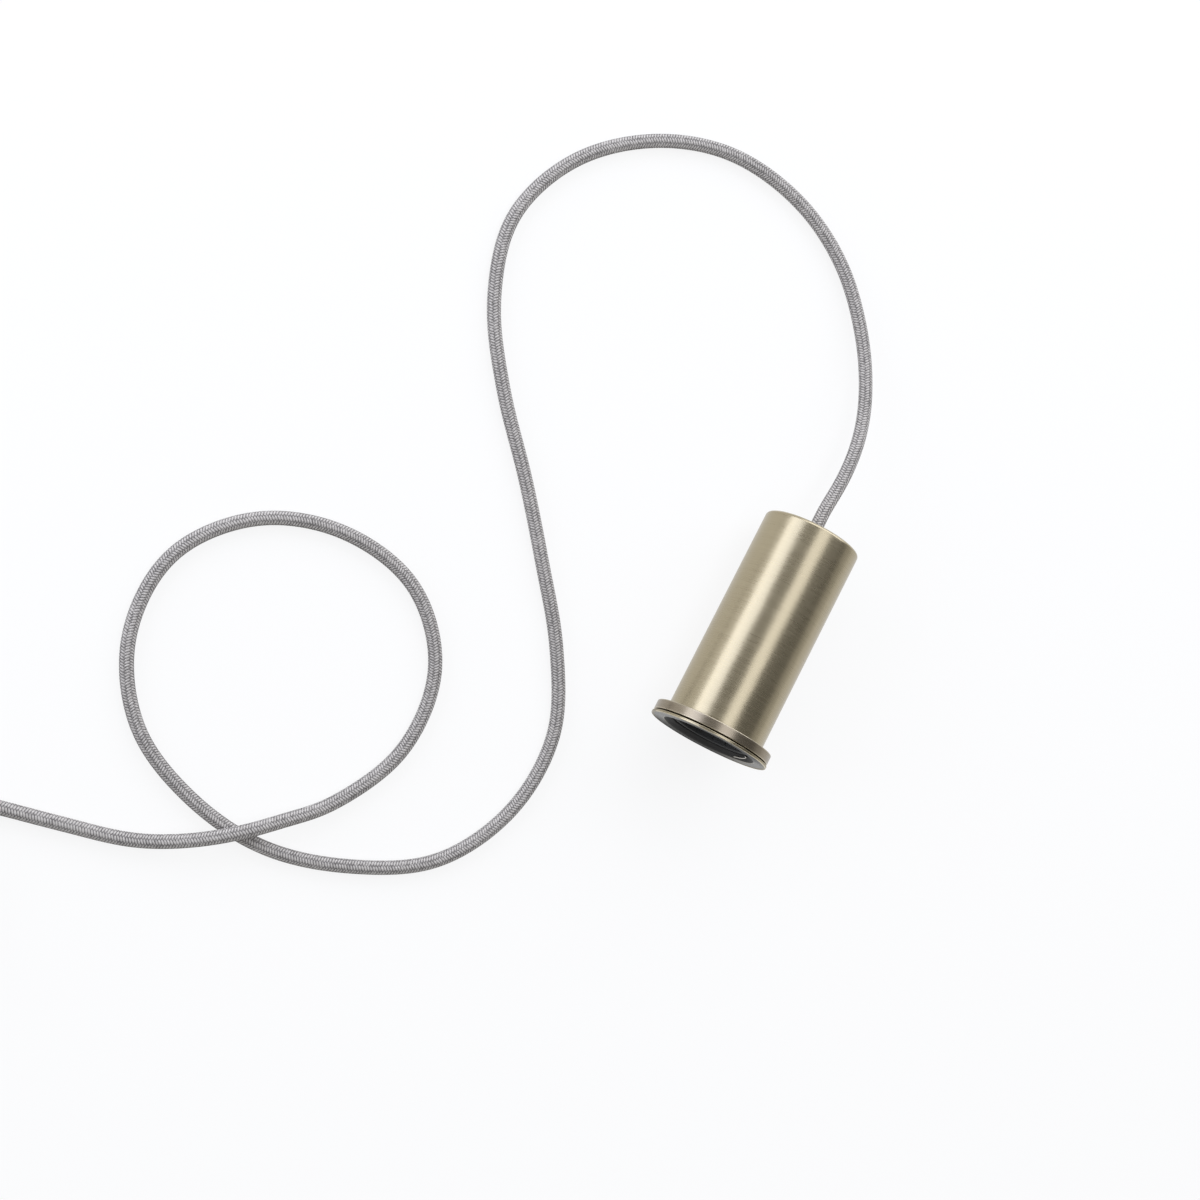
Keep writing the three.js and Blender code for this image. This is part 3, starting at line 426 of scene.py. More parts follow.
def near_edge(nodes, radius, station, edge):
    """1 on an edge that runs round the axis, and 0 at a distance from it."""
    across = radius - edge[0]
    along = station - edge[1]
    return nodes.step((across * across + along * along).math("SQRT"), 0.0, WEAR_AND_HIGHLIGHT_REACH, 1.0, 0.0)


def turned_brass(nodes, tone, edges):
    """Sockets of brass that is brushed round the pendant's axis and brighter on its edges, partly worn and partly
    a painted highlight.
    """
    place, radius, station = pendant_place(nodes)
    brushing = nodes.step(nodes.noise(place, (40, 1200, 40), detail=4.0, roughness=0.75), 0.22, 0.78)
    scratches = nodes.noise(place, (90, 7000, 90), detail=1.0)
    cloud = nodes.noise(place, (55, 28, 55))
    # Partly wear, partly a painted highlight: the edges are made brighter brass
    wear_and_highlight = sum((near_edge(nodes, radius, station, edge) for edge in edges), 0.0)
    wear_and_highlight = (wear_and_highlight * (0.35 + 0.9 * cloud)).math("MINIMUM", 1.0)
    uneven = nodes.mix(0.5 * brushing + 0.5 * cloud, (0.9, 0.895, 0.88, 1), (1.1, 1.1, 1.1, 1))
    brushed = nodes.add("ShaderNodeMix", {"data_type": "RGBA", "blend_type": "MULTIPLY"},
                        {0: 1.0, 6: tone(nodes, radius), 7: uneven}, output=2)
    swell = nodes.bump(cloud, 0.00022)
    return {
        "Base Color": nodes.mix(wear_and_highlight, brushed, settings().finishes.worn_and_highlit_brass),
        "Metallic": 1.0,
        "Roughness": 0.23 + 0.04 * brushing + 0.06 * cloud - 0.05 * wear_and_highlight,
        "Normal": nodes.bump(0.7 * brushing + 0.3 * scratches, 0.00001, swell),
    }


def cup_brass():
    """Turned brass with a browner flange."""
    cup = settings().cup
    back = cup.flange_front + cup.flange_thickness
    edges = [(cup.flange_radius, cup.flange_front), (cup.flange_radius, back),
             (cup.tube_radius - 0.3 * cup.end_edge, cup.length - 0.3 * cup.end_edge)]

    def tone(nodes, radius):
        finishes = settings().finishes
        on_flange = nodes.step(radius, cup.tube_radius + 0.0002, cup.tube_radius + 0.0006)
        return nodes.mix(on_flange, finishes.brass, finishes.flange)

    return surface_material("brushed_cup_brass", lambda nodes: turned_brass(nodes, tone, edges))


def ring_metal():
    """Brass with a turned grey face and a dull black bore. The face's two bright streaks are painted reflection,
    and its lower front edge has painted shade.
    """
    ring = settings().ring
    finishes = settings().finishes
    edges = [(ring.radius, 0.0), (ring.mouth_radius, 0.0)]

    def tone(nodes, radius):
        on_face = nodes.step(radius, ring.radius - 2 * ring.lip, ring.radius - ring.lip, 1.0, 0.0)
        return nodes.mix(on_face, finishes.brass, finishes.ring_face)

    def build(nodes):
        place, radius, station = pendant_place(nodes)
        height = nodes.parts(place).output("Z")
        front = station.math("LESS_THAN", 3 * ring.lip_depth)
        # Painted reflection: the face is mixed towards black by its angle round the axis, least at its sides,
        # which leaves two bright streaks where a turned face would reflect the light.
        painted_streak_mask = nodes.step(height.math("ABSOLUTE") / radius, 0.3, 0.95, 0.42, 0.95)
        inner_face = radius.math("LESS_THAN", ring.radius - ring.edge)
        # Painted shade: on the lower half the front edge is darkened too, standing for the contact shadow that the
        # face would reflect.
        lower_half = height.math("LESS_THAN", 0.0)
        painted_streaks_and_shade = front * painted_streak_mask * inner_face.math("MAXIMUM", lower_half)
        inside = radius.math("LESS_THAN", ring.mouth_radius - 0.00005)
        metal = nodes.add("ShaderNodeBsdfPrincipled", None, turned_brass(nodes, tone, edges))
        black = nodes.add("ShaderNodeBsdfPrincipled", None, {
            "Base Color": finishes.ring_inside, "Roughness": 0.6, "Specular IOR Level": 0.2})
        share = painted_streaks_and_shade.math("MAXIMUM", inside)
        return nodes.add("ShaderNodeMixShader", None, {0: share, 1: metal, 2: black})

    return surface_material("brushed_ring_metal", build)


def moulding(name, tint, roughness, mottle=0.15):
    """Moulded plastic with a fine spark-eroded grain and faint flow marks."""

    def build(nodes):
        place = object_place(nodes)
        grain = nodes.noise(place, 4200)
        flow = nodes.noise(place, (160, 60, 160), detail=3.0)
        return {
            "Base Color": nodes.mix(flow, scaled(tint, 1 - mottle), scaled(tint, 1 + mottle)),
            "Roughness": roughness + 0.12 * (grain - 0.5) + 0.08 * (flow - 0.5),
            "Normal": nodes.bump(grain, 0.00001),
        }

    return surface_material(name, build)


def plated(name, tint, roughness, brushing=900):
    """Plated or drawn metal with fine marks and a little dulling."""

    def build(nodes):
        place, _, _ = pendant_place(nodes)
        marks = nodes.noise(place, brushing, detail=3.0)
        dull = nodes.noise(place, 220)
        return {
            "Base Color": nodes.mix(0.4 * marks + 0.6 * dull, scaled(tint, 0.72), tint),
            "Metallic": 1.0,
            "Roughness": roughness + 0.18 * (dull - 0.5) + 0.12 * (marks - 0.5),
            "Normal": nodes.bump(marks, 0.000008),
        }

    return surface_material(name, build)


def braid():
    """Textile braid: flat yarns wound both ways, each over two and under two of the others, with painted shade in
    its hollows.
    """
    finishes = settings().finishes
    yarns_each_way = 8
    yarn_rise = 0.00128
    strands_in_yarn = 4

    def build(nodes):
        around = uv_place(nodes)
        along = around.output("Y") / yarn_rise
        left = around * yarns_each_way + along
        right = around * yarns_each_way - along
        crossing = left.math("FLOOR") + right.math("FLOOR")
        left_on_top = (crossing / 4).math("FRACT").math("LESS_THAN", 0.5)
        second_crossed = (crossing / 2).math("FRACT")
        across = left_on_top * left.math("FRACT") + (1 - left_on_top) * right.math("FRACT")
        crossed = left_on_top * right.math("FRACT") + (1 - left_on_top) * left.math("FRACT")
        share = second_crossed + 0.5 * crossed
        crown = (across.ridge() * (4 * share * (1 - share))).math("POWER", 0.5)
        furrow = 1 - (across * strands_in_yarn).ridge()
        place = object_place(nodes)
        fibres = nodes.noise(place, 5200, roughness=0.7)
        flecks = nodes.noise(place, 700, detail=1.0)
        patches = nodes.noise(place, 60)
        # Painted shade: the colour falls from the light yarn on each crown to dark in the hollows and in the
        # furrows between strands, with random flecks and patches of tone.
        bright = crown - 0.12 * furrow + 0.3 * (fibres - 0.5) + 0.8 * (flecks - 0.5) + 0.3 * (patches - 0.5)
        shade = nodes.step(bright, 0.12, 0.82)
        return {
            "Base Color": nodes.mix(shade, finishes.braid_hollow_shade, finishes.braid_light),
            "Roughness": 0.9 - 0.2 * shade,
            "Specular IOR Level": 0.35,
            "Normal": nodes.bump(0.9 * crown + 0.2 * fibres - 0.1 * furrow, 0.0003),
        }

    return surface_material("grey_textile_braid", build)


def woven_strap():
    """Black strap with a close plain weave, each thread darker at its edges as painted shade."""
    tint = settings().finishes.strap
    threads = 1600

    def build(nodes):
        across = uv_place(nodes)
        warp = across * threads
        weft = across.output("Y") * threads
        over = ((warp.math("FLOOR") + weft.math("FLOOR")) * 0.5).math("FRACT") * 2.0
        # Painted shade: a thread is darker where it dips under its neighbours.
        weave = over * warp.ridge() + (1 - over) * weft.ridge()
        fuzz = nodes.noise(object_place(nodes), 3000)
        shade = 0.6 * weave + 0.4 * fuzz
        return {
            "Base Color": nodes.mix(shade, scaled(tint, 0.4), tint),
            "Roughness": 0.75 + 0.2 * fuzz,
            "Sheen Weight": 0.15,
            "Normal": nodes.bump(shade, 0.00015),
        }

    return surface_material("woven_strap", build)


def insulation(name, tint, stripe=None):
    """Soft insulation of a core, with a stripe of a second colour on the earth core."""
    stripe_turns = 30.0

    def build(nodes):
        place = object_place(nodes)
        smear = nodes.noise(place, 260, detail=3.0)
        grain = nodes.noise(place, 3800, detail=1.0)
        tone = nodes.mix(smear, scaled(tint, 0.8), tint)
        if stripe:
            around = uv_place(nodes)
            turned = (around + around.output("Y") * stripe_turns).math("FRACT")
            band = nodes.step((turned - 0.5).math("ABSOLUTE"), 0.19, 0.21)
            tone = nodes.mix(band, tone, stripe)
        return {
            "Base Color": tone,
            "Roughness": 0.38 + 0.2 * (smear - 0.5),
            "Normal": nodes.bump(grain, 0.000008),
        }

    return surface_material(name, build)


def looks():
    """Materials by the record's slots, for the CAD nodes that stay and for new pieces."""
    finishes = settings().finishes
    return {
        "satin_brass": cup_brass(),
        "black_moulding": moulding("black_moulding", finishes.black, 0.42),
        "pale_moulding": moulding("pale_moulding", finishes.pale, 0.5, 0.05),
        "nickel": plated("rolled_nickel", finishes.nickel, 0.24, (60, 3000, 60)),
        "bright_brass": plated("turned_bright_brass", finishes.bright_brass, 0.3),
        "zinc_steel": plated("zinc_plated_steel", finishes.zinc, 0.38),
        "braid": braid(),
        "strap": woven_strap(),
        "brown_insulation": insulation("brown_insulation", finishes.brown),
        "blue_insulation": insulation("blue_insulation", finishes.blue),
        "earth_insulation": insulation("earth_insulation", finishes.green, finishes.yellow),
        "ferrule": moulding("ferrule_collar", finishes.collar, 0.45, 0.04),
    }


def arc(radius, station, size, start, end, steps=6):
    """Points of a round edge in a profile of (radius, station), between two angles in degrees."""
    angles = np.radians(np.linspace(start, end, steps + 1))
    return [(radius + size * math.cos(angle), station + size * math.sin(angle)) for angle in angles]


def finished_mesh(name, points, faces, sharp, uvs=None):
    """Closed mesh that is smooth but for its hard edges. Where it has no UVs, doubles are merged."""
    mesh = bpy.data.meshes.new(name)
    mesh.from_pydata([tuple(point) for point in points], [], faces)
    if uvs:
        layer = mesh.uv_layers.new(name="UVMap")
        layer.data.foreach_set("uv", np.array(uvs, np.float32).ravel())
    work = bmesh.new()
    work.from_mesh(mesh)
    if not uvs:
        bmesh.ops.remove_doubles(work, verts=work.verts, dist=MERGE_DISTANCE)
    bmesh.ops.recalc_face_normals(work, faces=work.faces)
    work.to_mesh(mesh)
    work.free()
    mesh.shade_smooth()
    mesh.set_sharp_from_angle(angle=math.radians(sharp))
    return mesh


def turned_mesh(name, profile, segments, sharp=32):
    """Closed body of revolution about +Y, from a closed profile of (radius, station)."""
    points, faces = [], []
    for radius, station in profile:
        for angle in np.linspace(0, 2 * math.pi, segments, endpoint=False):
            points.append((radius * math.cos(angle), station, radius * math.sin(angle)))
    count = len(profile)
    for i in range(count):
        j = (i + 1) % count
        if profile[i][0] == 0 and profile[j][0] == 0:
            continue
        for k in range(segments):
            m = (k + 1) % segments
            faces.append((i * segments + k, j * segments + k, j * segments + m, i * segments + m))
    return finished_mesh(name, points, faces, sharp)


def add_piece(name, mesh, slot, nodes=(), body="pendant", finishes=None):
    """Adds a finished mesh as a piece that rides on a CAD body and stands for CAD nodes."""
    piece = bpy.data.objects.new(name, mesh)
    bpy.context.scene.collection.objects.link(piece)
    indices = [face.material_index for face in mesh.polygons]
    mesh.materials.clear()
    for finish in finishes or [looks()[slot]]:
        mesh.materials.append(finish)
    if len(mesh.materials) > 1:
        mesh.polygons.foreach_set("material_index", indices)
    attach(piece, body)
    if nodes:
        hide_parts(*nodes)
    return piece


def nodes_mesh(group, values, start=None):
    """Runs a Geometry Nodes group, on a mesh or on nothing, and returns its result as a plain mesh."""
    base = bpy.data.objects.new(group.name, start or bpy.data.meshes.new(group.name))
    bpy.context.scene.collection.objects.link(base)
    modifier = base.modifiers.new(group.name, "NODES")
    modifier.node_group = group
    places = {item.name: item.identifier for item in group.interface.items_tree if item.in_out == "INPUT"}
    for name, value in values.items():
        modifier[places[name]] = value
    mesh = bpy.data.meshes.new_from_object(base.evaluated_get(bpy.context.evaluated_depsgraph_get()))
    base.modifiers.remove(modifier)
    bpy.data.objects.remove(base)
    if not mesh.polygons:
        raise RuntimeError(f"Geometry Nodes group {group.name} made no faces")
    return mesh


def node_group(name, inputs, build):
    """Geometry Nodes group with named inputs. A function makes its geometry, which gets one material."""
    if name in bpy.data.node_groups:
        return bpy.data.node_groups[name]
    group = bpy.data.node_groups.new(name, "GeometryNodeTree")
    group.interface.new_socket("Geometry", in_out="OUTPUT", socket_type="NodeSocketGeometry")
    for socket, kind in {**inputs, "Material": "Material"}.items():
        group.interface.new_socket(socket, in_out="INPUT", socket_type=f"NodeSocket{kind}")
    nodes = Nodes(group)
    given = nodes.add("NodeGroupInput")
    real = nodes.add("GeometryNodeRealizeInstances", None, {"Geometry": build(nodes, given)})
    done = nodes.add("GeometryNodeSetMaterial", None,
                     {"Geometry": real, "Material": given.output("Material")})
    nodes.add("NodeGroupOutput", None, {"Geometry": done})
    return group


def rolled_thread_group():
    """Moves a turned wall in and out along a helix, between two stations and two radii."""

    def build(nodes, given):
        x = nodes.parts(nodes.add("GeometryNodeInputPosition"))
        z = x.output("Z")
        station = x.output("Y")
        radius = (x * x + z * z).math("SQRT")
        pitch = given.output("Pitch")
        turn = z.math("ARCTAN2", x) / (2 * math.pi)
        from_start = (station - given.output("Start")) / pitch
        from_end = (given.output("End") - station) / pitch
        wave = ((from_start - turn) * (2 * math.pi)).math("COSINE") * given.output("Sharpness")
        crest = 0.5 + 0.5 * wave.clamp(-1.0, 1.0)
        on_wall = radius.math("GREATER_THAN", given.output("Inner Radius"))
        on_wall = on_wall * radius.math("LESS_THAN", given.output("Outer Radius"))
        rise = given.output("Depth") * crest * from_start.clamp(0.0, 1.0) * from_end.clamp(0.0, 1.0)
        share = rise * on_wall / radius
        offset = nodes.add("ShaderNodeCombineXYZ", None, {"X": x * share, "Z": z * share})
        wall = {"Geometry": given.output("Geometry"), "Offset": offset}
        return nodes.add("GeometryNodeSetPosition", None, wall)

    return node_group("rolled_thread", {
        "Geometry": "Geometry", "Pitch": "Float", "Depth": "Float", "Start": "Float", "End": "Float",
        "Inner Radius": "Float", "Outer Radius": "Float", "Sharpness": "Float"}, build)


def ring_of_ribs_group():
    """Blocks of one size, evenly spaced on a circle about Z."""

    def build(nodes, given):
        circle = nodes.add("GeometryNodeMeshCircle", None,
                           {"Vertices": given.output("Count"), "Radius": given.output("Radius")})
        block = nodes.add("GeometryNodeMeshCube", None, {"Size": given.output("Size")})
        x = nodes.parts(nodes.add("GeometryNodeInputPosition"))
        turn = nodes.add("ShaderNodeCombineXYZ", None, {"Z": x.output("Y").math("ARCTAN2", x)})
        return nodes.add("GeometryNodeInstanceOnPoints", None,
                         {"Points": circle, "Instance": block, "Rotation": turn})

    return node_group("ring_of_ribs", {"Count": "Int", "Radius": "Float", "Size": "Vector"}, build)


def stitches_group():
    """Stitches in a rectangle on the XY plane."""

    def build(nodes, given):
        line = nodes.add("GeometryNodeCurvePrimitiveQuadrilateral", {"mode": "RECTANGLE"},
                         {"Width": given.output("Length"), "Height": given.output("Width")})
        spaced = nodes.add("GeometryNodeResampleCurve", {"mode": "LENGTH"},
                           {"Curve": line, "Length": given.output("Spacing")})
        stitch = nodes.add("GeometryNodeMeshUVSphere", None, {"Segments": 8, "Rings": 5, "Radius": 0.5})
        along = nodes.add("GeometryNodeInputTangent")
        turn = nodes.add("FunctionNodeAlignRotationToVector", {"axis": "X"}, {"Vector": along})
        return nodes.add("GeometryNodeInstanceOnPoints", None, {
            "Points": spaced, "Instance": stitch, "Rotation": turn, "Scale": given.output("Stitch")})

    return node_group("box_of_stitches", {
        "Length": "Float", "Width": "Float", "Spacing": "Float", "Stitch": "Vector"}, build)


def threaded(mesh, look, pitch, depth, start, end, inner, outer, sharpness=1.0):
    """A turned mesh with a helical thread between two stations and two radii."""
    return nodes_mesh(rolled_thread_group(), {
        "Pitch": pitch, "Depth": depth, "Start": start, "End": end, "Inner Radius": inner,
        "Outer Radius": outer, "Sharpness": sharpness, "Material": look}, mesh)


def stations(start, end, step):
    """Stations from one to another, no more than a step apart."""
    return [float(s) for s in np.linspace(start, end, max(2, math.ceil(abs(end - start) / step) + 1))]


def along_curve(points, spacing):
    """Points evenly spaced on a centripetal Catmull-Rom curve, which is how the CAD tube runs."""
    given = np.array([tuple(point) for point in points], float)
    given = np.vstack([2 * given[0] - given[1], given, 2 * given[-1] - given[-2]])
    fine = []
    for before, start, end, after in zip(given, given[1:], given[2:], given[3:]):
        spans = (start - before, end - start, after - end)
        first, middle, last = [math.sqrt(np.linalg.norm(span)) for span in spans]
        along = (end - start) / middle
        leaving = ((start - before) / first - (end - before) / (first + middle) + along) * middle
        arriving = (along - (after - start) / (middle + last) + (after - end) / last) * middle
        for share in np.linspace(0, 1, 24, endpoint=False):
            square, cube = share * share, share ** 3
            fine.append((2 * cube - 3 * square + 1) * start + (cube - 2 * square + share) * leaving
                        + (3 * square - 2 * cube) * end + (cube - square) * arriving)
    fine = np.array(fine + [given[-2]])
    length = np.concatenate([[0], np.cumsum(np.linalg.norm(np.diff(fine, axis=0), axis=1))])
    places = np.linspace(0, length[-1], math.ceil(length[-1] / spacing) + 1)
    return np.stack([np.interp(places, length, fine[:, axis]) for axis in range(3)], axis=1)


def lofted_mesh(name, rings, around, sharp):
    """Closed strip through rings of points. Its UVs are a value round each ring and the length along."""
    rings = np.array(rings)
    count = len(rings[0])
    steps = np.linalg.norm(np.diff(rings.mean(axis=1), axis=0), axis=1)
    lengths = [0.0, *np.cumsum(steps)]
    faces, uvs = [], []
    for i in range(len(rings) - 1):
        for k in range(count):
            m = (k + 1) % count
            faces.append((i * count + k, i * count + m, (i + 1) * count + m, (i + 1) * count + k))
            uvs += [(around[k], lengths[i]), (around[k + 1], lengths[i]),
                    (around[k + 1], lengths[i + 1]), (around[k], lengths[i + 1])]
    last = (len(rings) - 1) * count
    faces += [tuple(range(count))[::-1], tuple(range(last, last + count))]
    uvs += [(0.0, 0.0)] * count + [(0.0, lengths[-1])] * count
    return finished_mesh(name, rings.reshape(-1, 3), faces, sharp, uvs)


def tube_mesh(name, line, radius, sides):
    """Closed tube along a line of points."""
    ahead = np.gradient(line, axis=0)
    ahead /= np.linalg.norm(ahead, axis=1)[:, None]
    side = np.cross(ahead[0], (0, 0, 1))
    angles = np.linspace(0, 2 * math.pi, sides, endpoint=False)
    rings = []
    for point, forward in zip(line, ahead):
        side = side - forward * np.dot(side, forward)
        side /= np.linalg.norm(side)
        other = np.cross(forward, side)
        rings.append(point + radius * (np.cos(angles)[:, None] * side + np.sin(angles)[:, None] * other))
    return lofted_mesh(name, rings, [k / sides for k in range(sides + 1)], 60)


def cup_mesh():
    """Tube, flange and closed end, with a fine groove where the tube meets the flange."""
    cup = settings().cup
    edge = cup.flange_edge
    rim = cup.flange_radius - edge
    back = cup.flange_front + cup.flange_thickness
    bore = cup.tube_radius - cup.tube_wall
    groove = cup.joint_groove
    profile = [(bore, cup.flange_front)]
    profile += arc(rim, cup.flange_front + edge, edge, -90, 0)
    profile += [(cup.flange_radius, cup.flange_front + 2 * edge), (cup.flange_radius, back - 2 * edge)]
    profile += arc(rim, back - edge, edge, 0, 90)
    profile += [(cup.tube_radius, back), (cup.tube_radius - groove, back + groove),
                (cup.tube_radius, back + 2 * groove)]
    along = stations(back + 4 * groove, cup.length - 2 * cup.end_edge, 0.01)
    profile += [(cup.tube_radius, s) for s in along]
    profile += arc(cup.tube_radius - cup.end_edge, cup.length - cup.end_edge, cup.end_edge, 0, 90, 10)
    profile += [(cup.cord_hole + edge, cup.length), (cup.cord_hole, cup.length - edge),
                (cup.cord_hole, cup.length - cup.end_thickness), (bore, cup.length - cup.end_thickness)]
    return turned_mesh("cup", profile, segments=256, sharp=40)


def ring_mesh(look):
    """Rim with a raised line round its face, a cone down to the bore, and a threaded collar."""
    ring = settings().ring
    groove_back = ring.rim - ring.rim_land
    groove_front = groove_back - ring.groove_width
    groove_floor = ring.radius - ring.rim_groove
    groove_slope = 0.2 * ring.groove_width
    back_edge = 0.00012
    profile = [(ring.mouth_radius + ring.edge, ring.lip_depth)]
    profile += [(ring.radius - ring.lip - ring.lip_depth, ring.lip_depth), (ring.radius - ring.lip, 0.0)]
    profile += arc(ring.radius - ring.edge, ring.edge, ring.edge, -90, 0)
    profile += [(ring.radius, groove_front), (groove_floor, groove_front + groove_slope)]
    profile += [(groove_floor, groove_back - groove_slope), (ring.radius, groove_back)]
    profile += arc(ring.radius - back_edge, ring.rim - back_edge, back_edge, 0, 90, 3)
    profile += [(ring.collar_radius, ring.rim)]
    profile += [(ring.collar_radius, ring.collar_length), (ring.bore_radius, ring.collar_length)]
    along = stations(ring.collar_length - 0.0001, ring.mouth_depth, 0.0002)
    profile += [(ring.bore_radius, s) for s in along]
    profile += [(ring.mouth_radius, 2 * ring.lip_depth)]
    return threaded(
        turned_mesh("ring", profile, segments=288, sharp=40), look, pitch=ring.thread_pitch,
        depth=ring.thread_depth, start=ring.mouth_depth + 0.0006, end=ring.collar_length - 0.0002,
        inner=ring.bore_radius - THREAD_REACH, outer=ring.bore_radius + THREAD_REACH, sharpness=FLAT_CREST)


def glint_wire_mesh():
    """Bright hooked wire low on the right of the ring's mouth, put there as a painted glint where the mouth shows
    a small reflection.
    """
    ring = settings().ring
    wire = 0.00026
    # Inwards from the mouth, station, and degrees round it
    hook = [(0.0008, 0.0011, -30), (0.0015, 0.0012, -24), (0.0018, 0.0013, -16), (0.0022, 0.0016, -6),
            (0.0027, 0.002, 1.5), (0.003, 0.0023, -1)]
    bend = []
    for inwards, station, angle in hook:
        radius = ring.mouth_radius - inwards
        angle = math.radians(angle)
        bend.append((radius * math.cos(angle), station, radius * math.sin(angle)))
    return tube_mesh("clip", along_curve(bend, 0.0002), wire, 12)


def skirt_mesh(look):
    """Moulded skirt: mouth with ribs, bore, ledge and rear bore, with the shade thread outside."""
    holder = settings().holder
    ring = settings().ring
    taper = holder.mouth_radius - holder.bore_radius
    chamfer = 0.0005
    profile = arc(holder.mouth_radius + chamfer, holder.front + chamfer, chamfer, 180, 270, 4)
    profile += [(holder.radius - chamfer, holder.front), (holder.radius, holder.front + chamfer)]
    profile += [(holder.radius, s) for s in stations(holder.front + 2 * chamfer, holder.back, 0.00025)]
    profile += [(holder.rear_radius, holder.back), (holder.rear_radius, holder.ledge)]
    profile += [(holder.bore_radius, holder.ledge), (holder.bore_radius, holder.mouth_end + taper)]
    profile += [(holder.mouth_radius, holder.mouth_end)]
    return threaded(
        turned_mesh("skirt", profile, segments=144, sharp=40), look, pitch=ring.thread_pitch,
        depth=-ring.thread_depth, start=holder.front + chamfer, end=holder.back - 0.004,
        inner=holder.radius - THREAD_REACH, outer=holder.radius + THREAD_REACH, sharpness=FLAT_CREST)


def rib_mesh(look):
    """Ribs round the inside of the skirt's mouth, turned from Z onto the pendant's axis."""
    holder = settings().holder
    root = 0.0003
    width = 0.0009
    front_gap, back_gap = 0.0009, 0.0003
    length = holder.mouth_end - holder.front - front_gap - back_gap
    mesh = nodes_mesh(ring_of_ribs_group(), {
        "Count": holder.ribs, "Radius": holder.mouth_radius - holder.rib_height / 2 + root / 2,
        "Size": (holder.rib_height + root, width, length), "Material": look})
    middle = holder.front + front_gap + length / 2
    mesh.transform(Matrix.Translation((0, middle, 0)) @ Matrix.Rotation(math.radians(-90), 4, "X"))
    return mesh


def shell_mesh(look):
    """Rolled screw shell: one sheet with the lamp's thread, a flared lip and a holed floor."""
    holder = settings().holder
    inner, wall = holder.shell_radius, holder.shell_wall
    outer = inner + wall
    floor = holder.shell_floor
    lip, lip_end = holder.shell_lip, holder.shell_front + 0.0012
    thread_end = floor - 0.0008
    run = stations(lip_end, thread_end, 0.0002)
    profile = [(inner + lip, holder.shell_front), (outer + lip, holder.shell_front)]
    profile += [(outer, s) for s in run]
    profile += [(outer, floor + wall), (holder.shell_hole, floor + wall), (holder.shell_hole, floor)]
    profile += [(inner, s) for s in [floor, *reversed(run)]]
    return threaded(
        turned_mesh("shell", profile, segments=120, sharp=50), look, pitch=holder.shell_pitch,
        depth=-holder.shell_wave, start=lip_end + 0.0002, end=thread_end,
        inner=inner - 0.0001, outer=outer + 0.0001)


def bush_mesh():
    """Low bush with a short sleeve in the closed end's hole."""
    cord = settings().cord
    bore = cord.radius + SEAT_GAP
    edge, mouth_edge = 0.0007, 0.0003
    front = settings().cup.length + SEAT_GAP
    sleeve, sleeve_front = settings().cup.cord_hole - SEAT_GAP, front - 0.001
    profile = [(bore, sleeve_front), (sleeve, sleeve_front), (sleeve, front), (cord.bush_radius, front)]
    profile += arc(cord.bush_radius - edge, cord.exit_station - edge, edge, 0, 90)
    profile += [(bore + mouth_edge, cord.exit_station), (bore, cord.exit_station - mouth_edge)]
    return turned_mesh("bush", profile, segments=96)


def place_mesh(mesh):
    """Moves a mesh from the pendant's own frame into the row frame."""
    mesh.transform(LYING)
    return mesh


def smooth_share(value, start, end):
    share = min(max((value - start) / (end - start), 0.0), 1.0)
    return share * share * (3 - 2 * share)


def coil_place(cord, angle, radius, height):
    """A point by its angle round the coil from where the cord joins it, in degrees."""
    turn = cord.coil_entry + math.radians(angle)
    return (cord.coil_x + radius * math.cos(turn), cord.coil_y + radius * math.sin(turn), height)


def coil_line(cord):
    """The turns in three columns and two layers, then the end that comes down outside them."""
    change = 60
    columns = {300: -1, 660: -1, 1260: 1, 1620: 1}
    layer_up, tail_out, tail_down, tail_end = 960, 1780, 1840, 1925
    outside = HALF_BUNDLE * cord.coil_pitch + cord.radius + SEAT_GAP
    line = []
    for angle in np.arange(0, tail_end + 1, 5):
        moves = [move * smooth_share(angle, start, start + change) for start, move in columns.items()]
        column = 1 + sum(moves)
        layer = smooth_share(angle, layer_up, layer_up + change)
        out = smooth_share(angle, tail_out, tail_out + change)
        down = smooth_share(angle, tail_down, tail_down + change)
        away = math.degrees(cord.coil_entry - cord.tie_angle) + angle
        away = abs((away + 180) % 360 - 180)
        lifted = cord.coil_lift * (1 - smooth_share(away, 12, 50))
        radius = cord.coil_radius + column * cord.coil_pitch * (1 - out) + outside * out
        height = cord.radius + FLOOR_GAP + lifted + layer * cord.coil_pitch
        rest = settings().end.sleeve_radius + FLOOR_GAP
        line.append(coil_place(cord, angle, radius, height + (rest - height) * down))
    heading = Vector(line[-1]) - Vector(line[-2])
    heading.z = 0
    heading.normalize()
    tip = Vector(line[-1])
    line += [tuple(tip + heading * cord.tail_straight * share) for share in (0.25, 0.5, 0.75, 1.0)]
    return line, heading


def cord_line():
    """Centreline of the whole cord, from the bush over the floor into the coil and to its end."""
    cord = settings().cord
    leaving = [LYING @ Vector((0, cord.exit_station + beyond, 0)) for beyond in (0, cord.exit_straight)]
    coil, heading = coil_line(cord)
    line = along_curve([*leaving, *ROUTE, *coil], cord.step)
    # Only the bends between the straight exit and the coil are eased
    first = int(cord.exit_straight / cord.step)
    last = int(np.argmin(np.linalg.norm(line - ROUTE[-1], axis=1)))
    for _ in range(ROUTE_SMOOTHING):
        eased = 0.25 * line[first:last - 2] + 0.5 * line[first + 1:last - 1] + 0.25 * line[first + 2:last]
        line[first + 1:last - 1] = eased
    return line, heading


def end_frame(line, heading):
    """Matrix from the wired end's own frame, with +Y onwards from the cord, to the row frame."""
    start = Vector(line[-1]) + heading * (SEAT_GAP - settings().end.overlap)
    side = heading.cross(Vector((0, 0, 1)))
    turn = Matrix((side, heading, side.cross(heading))).transposed()
    return Matrix.Translation(start) @ turn.to_4x4()


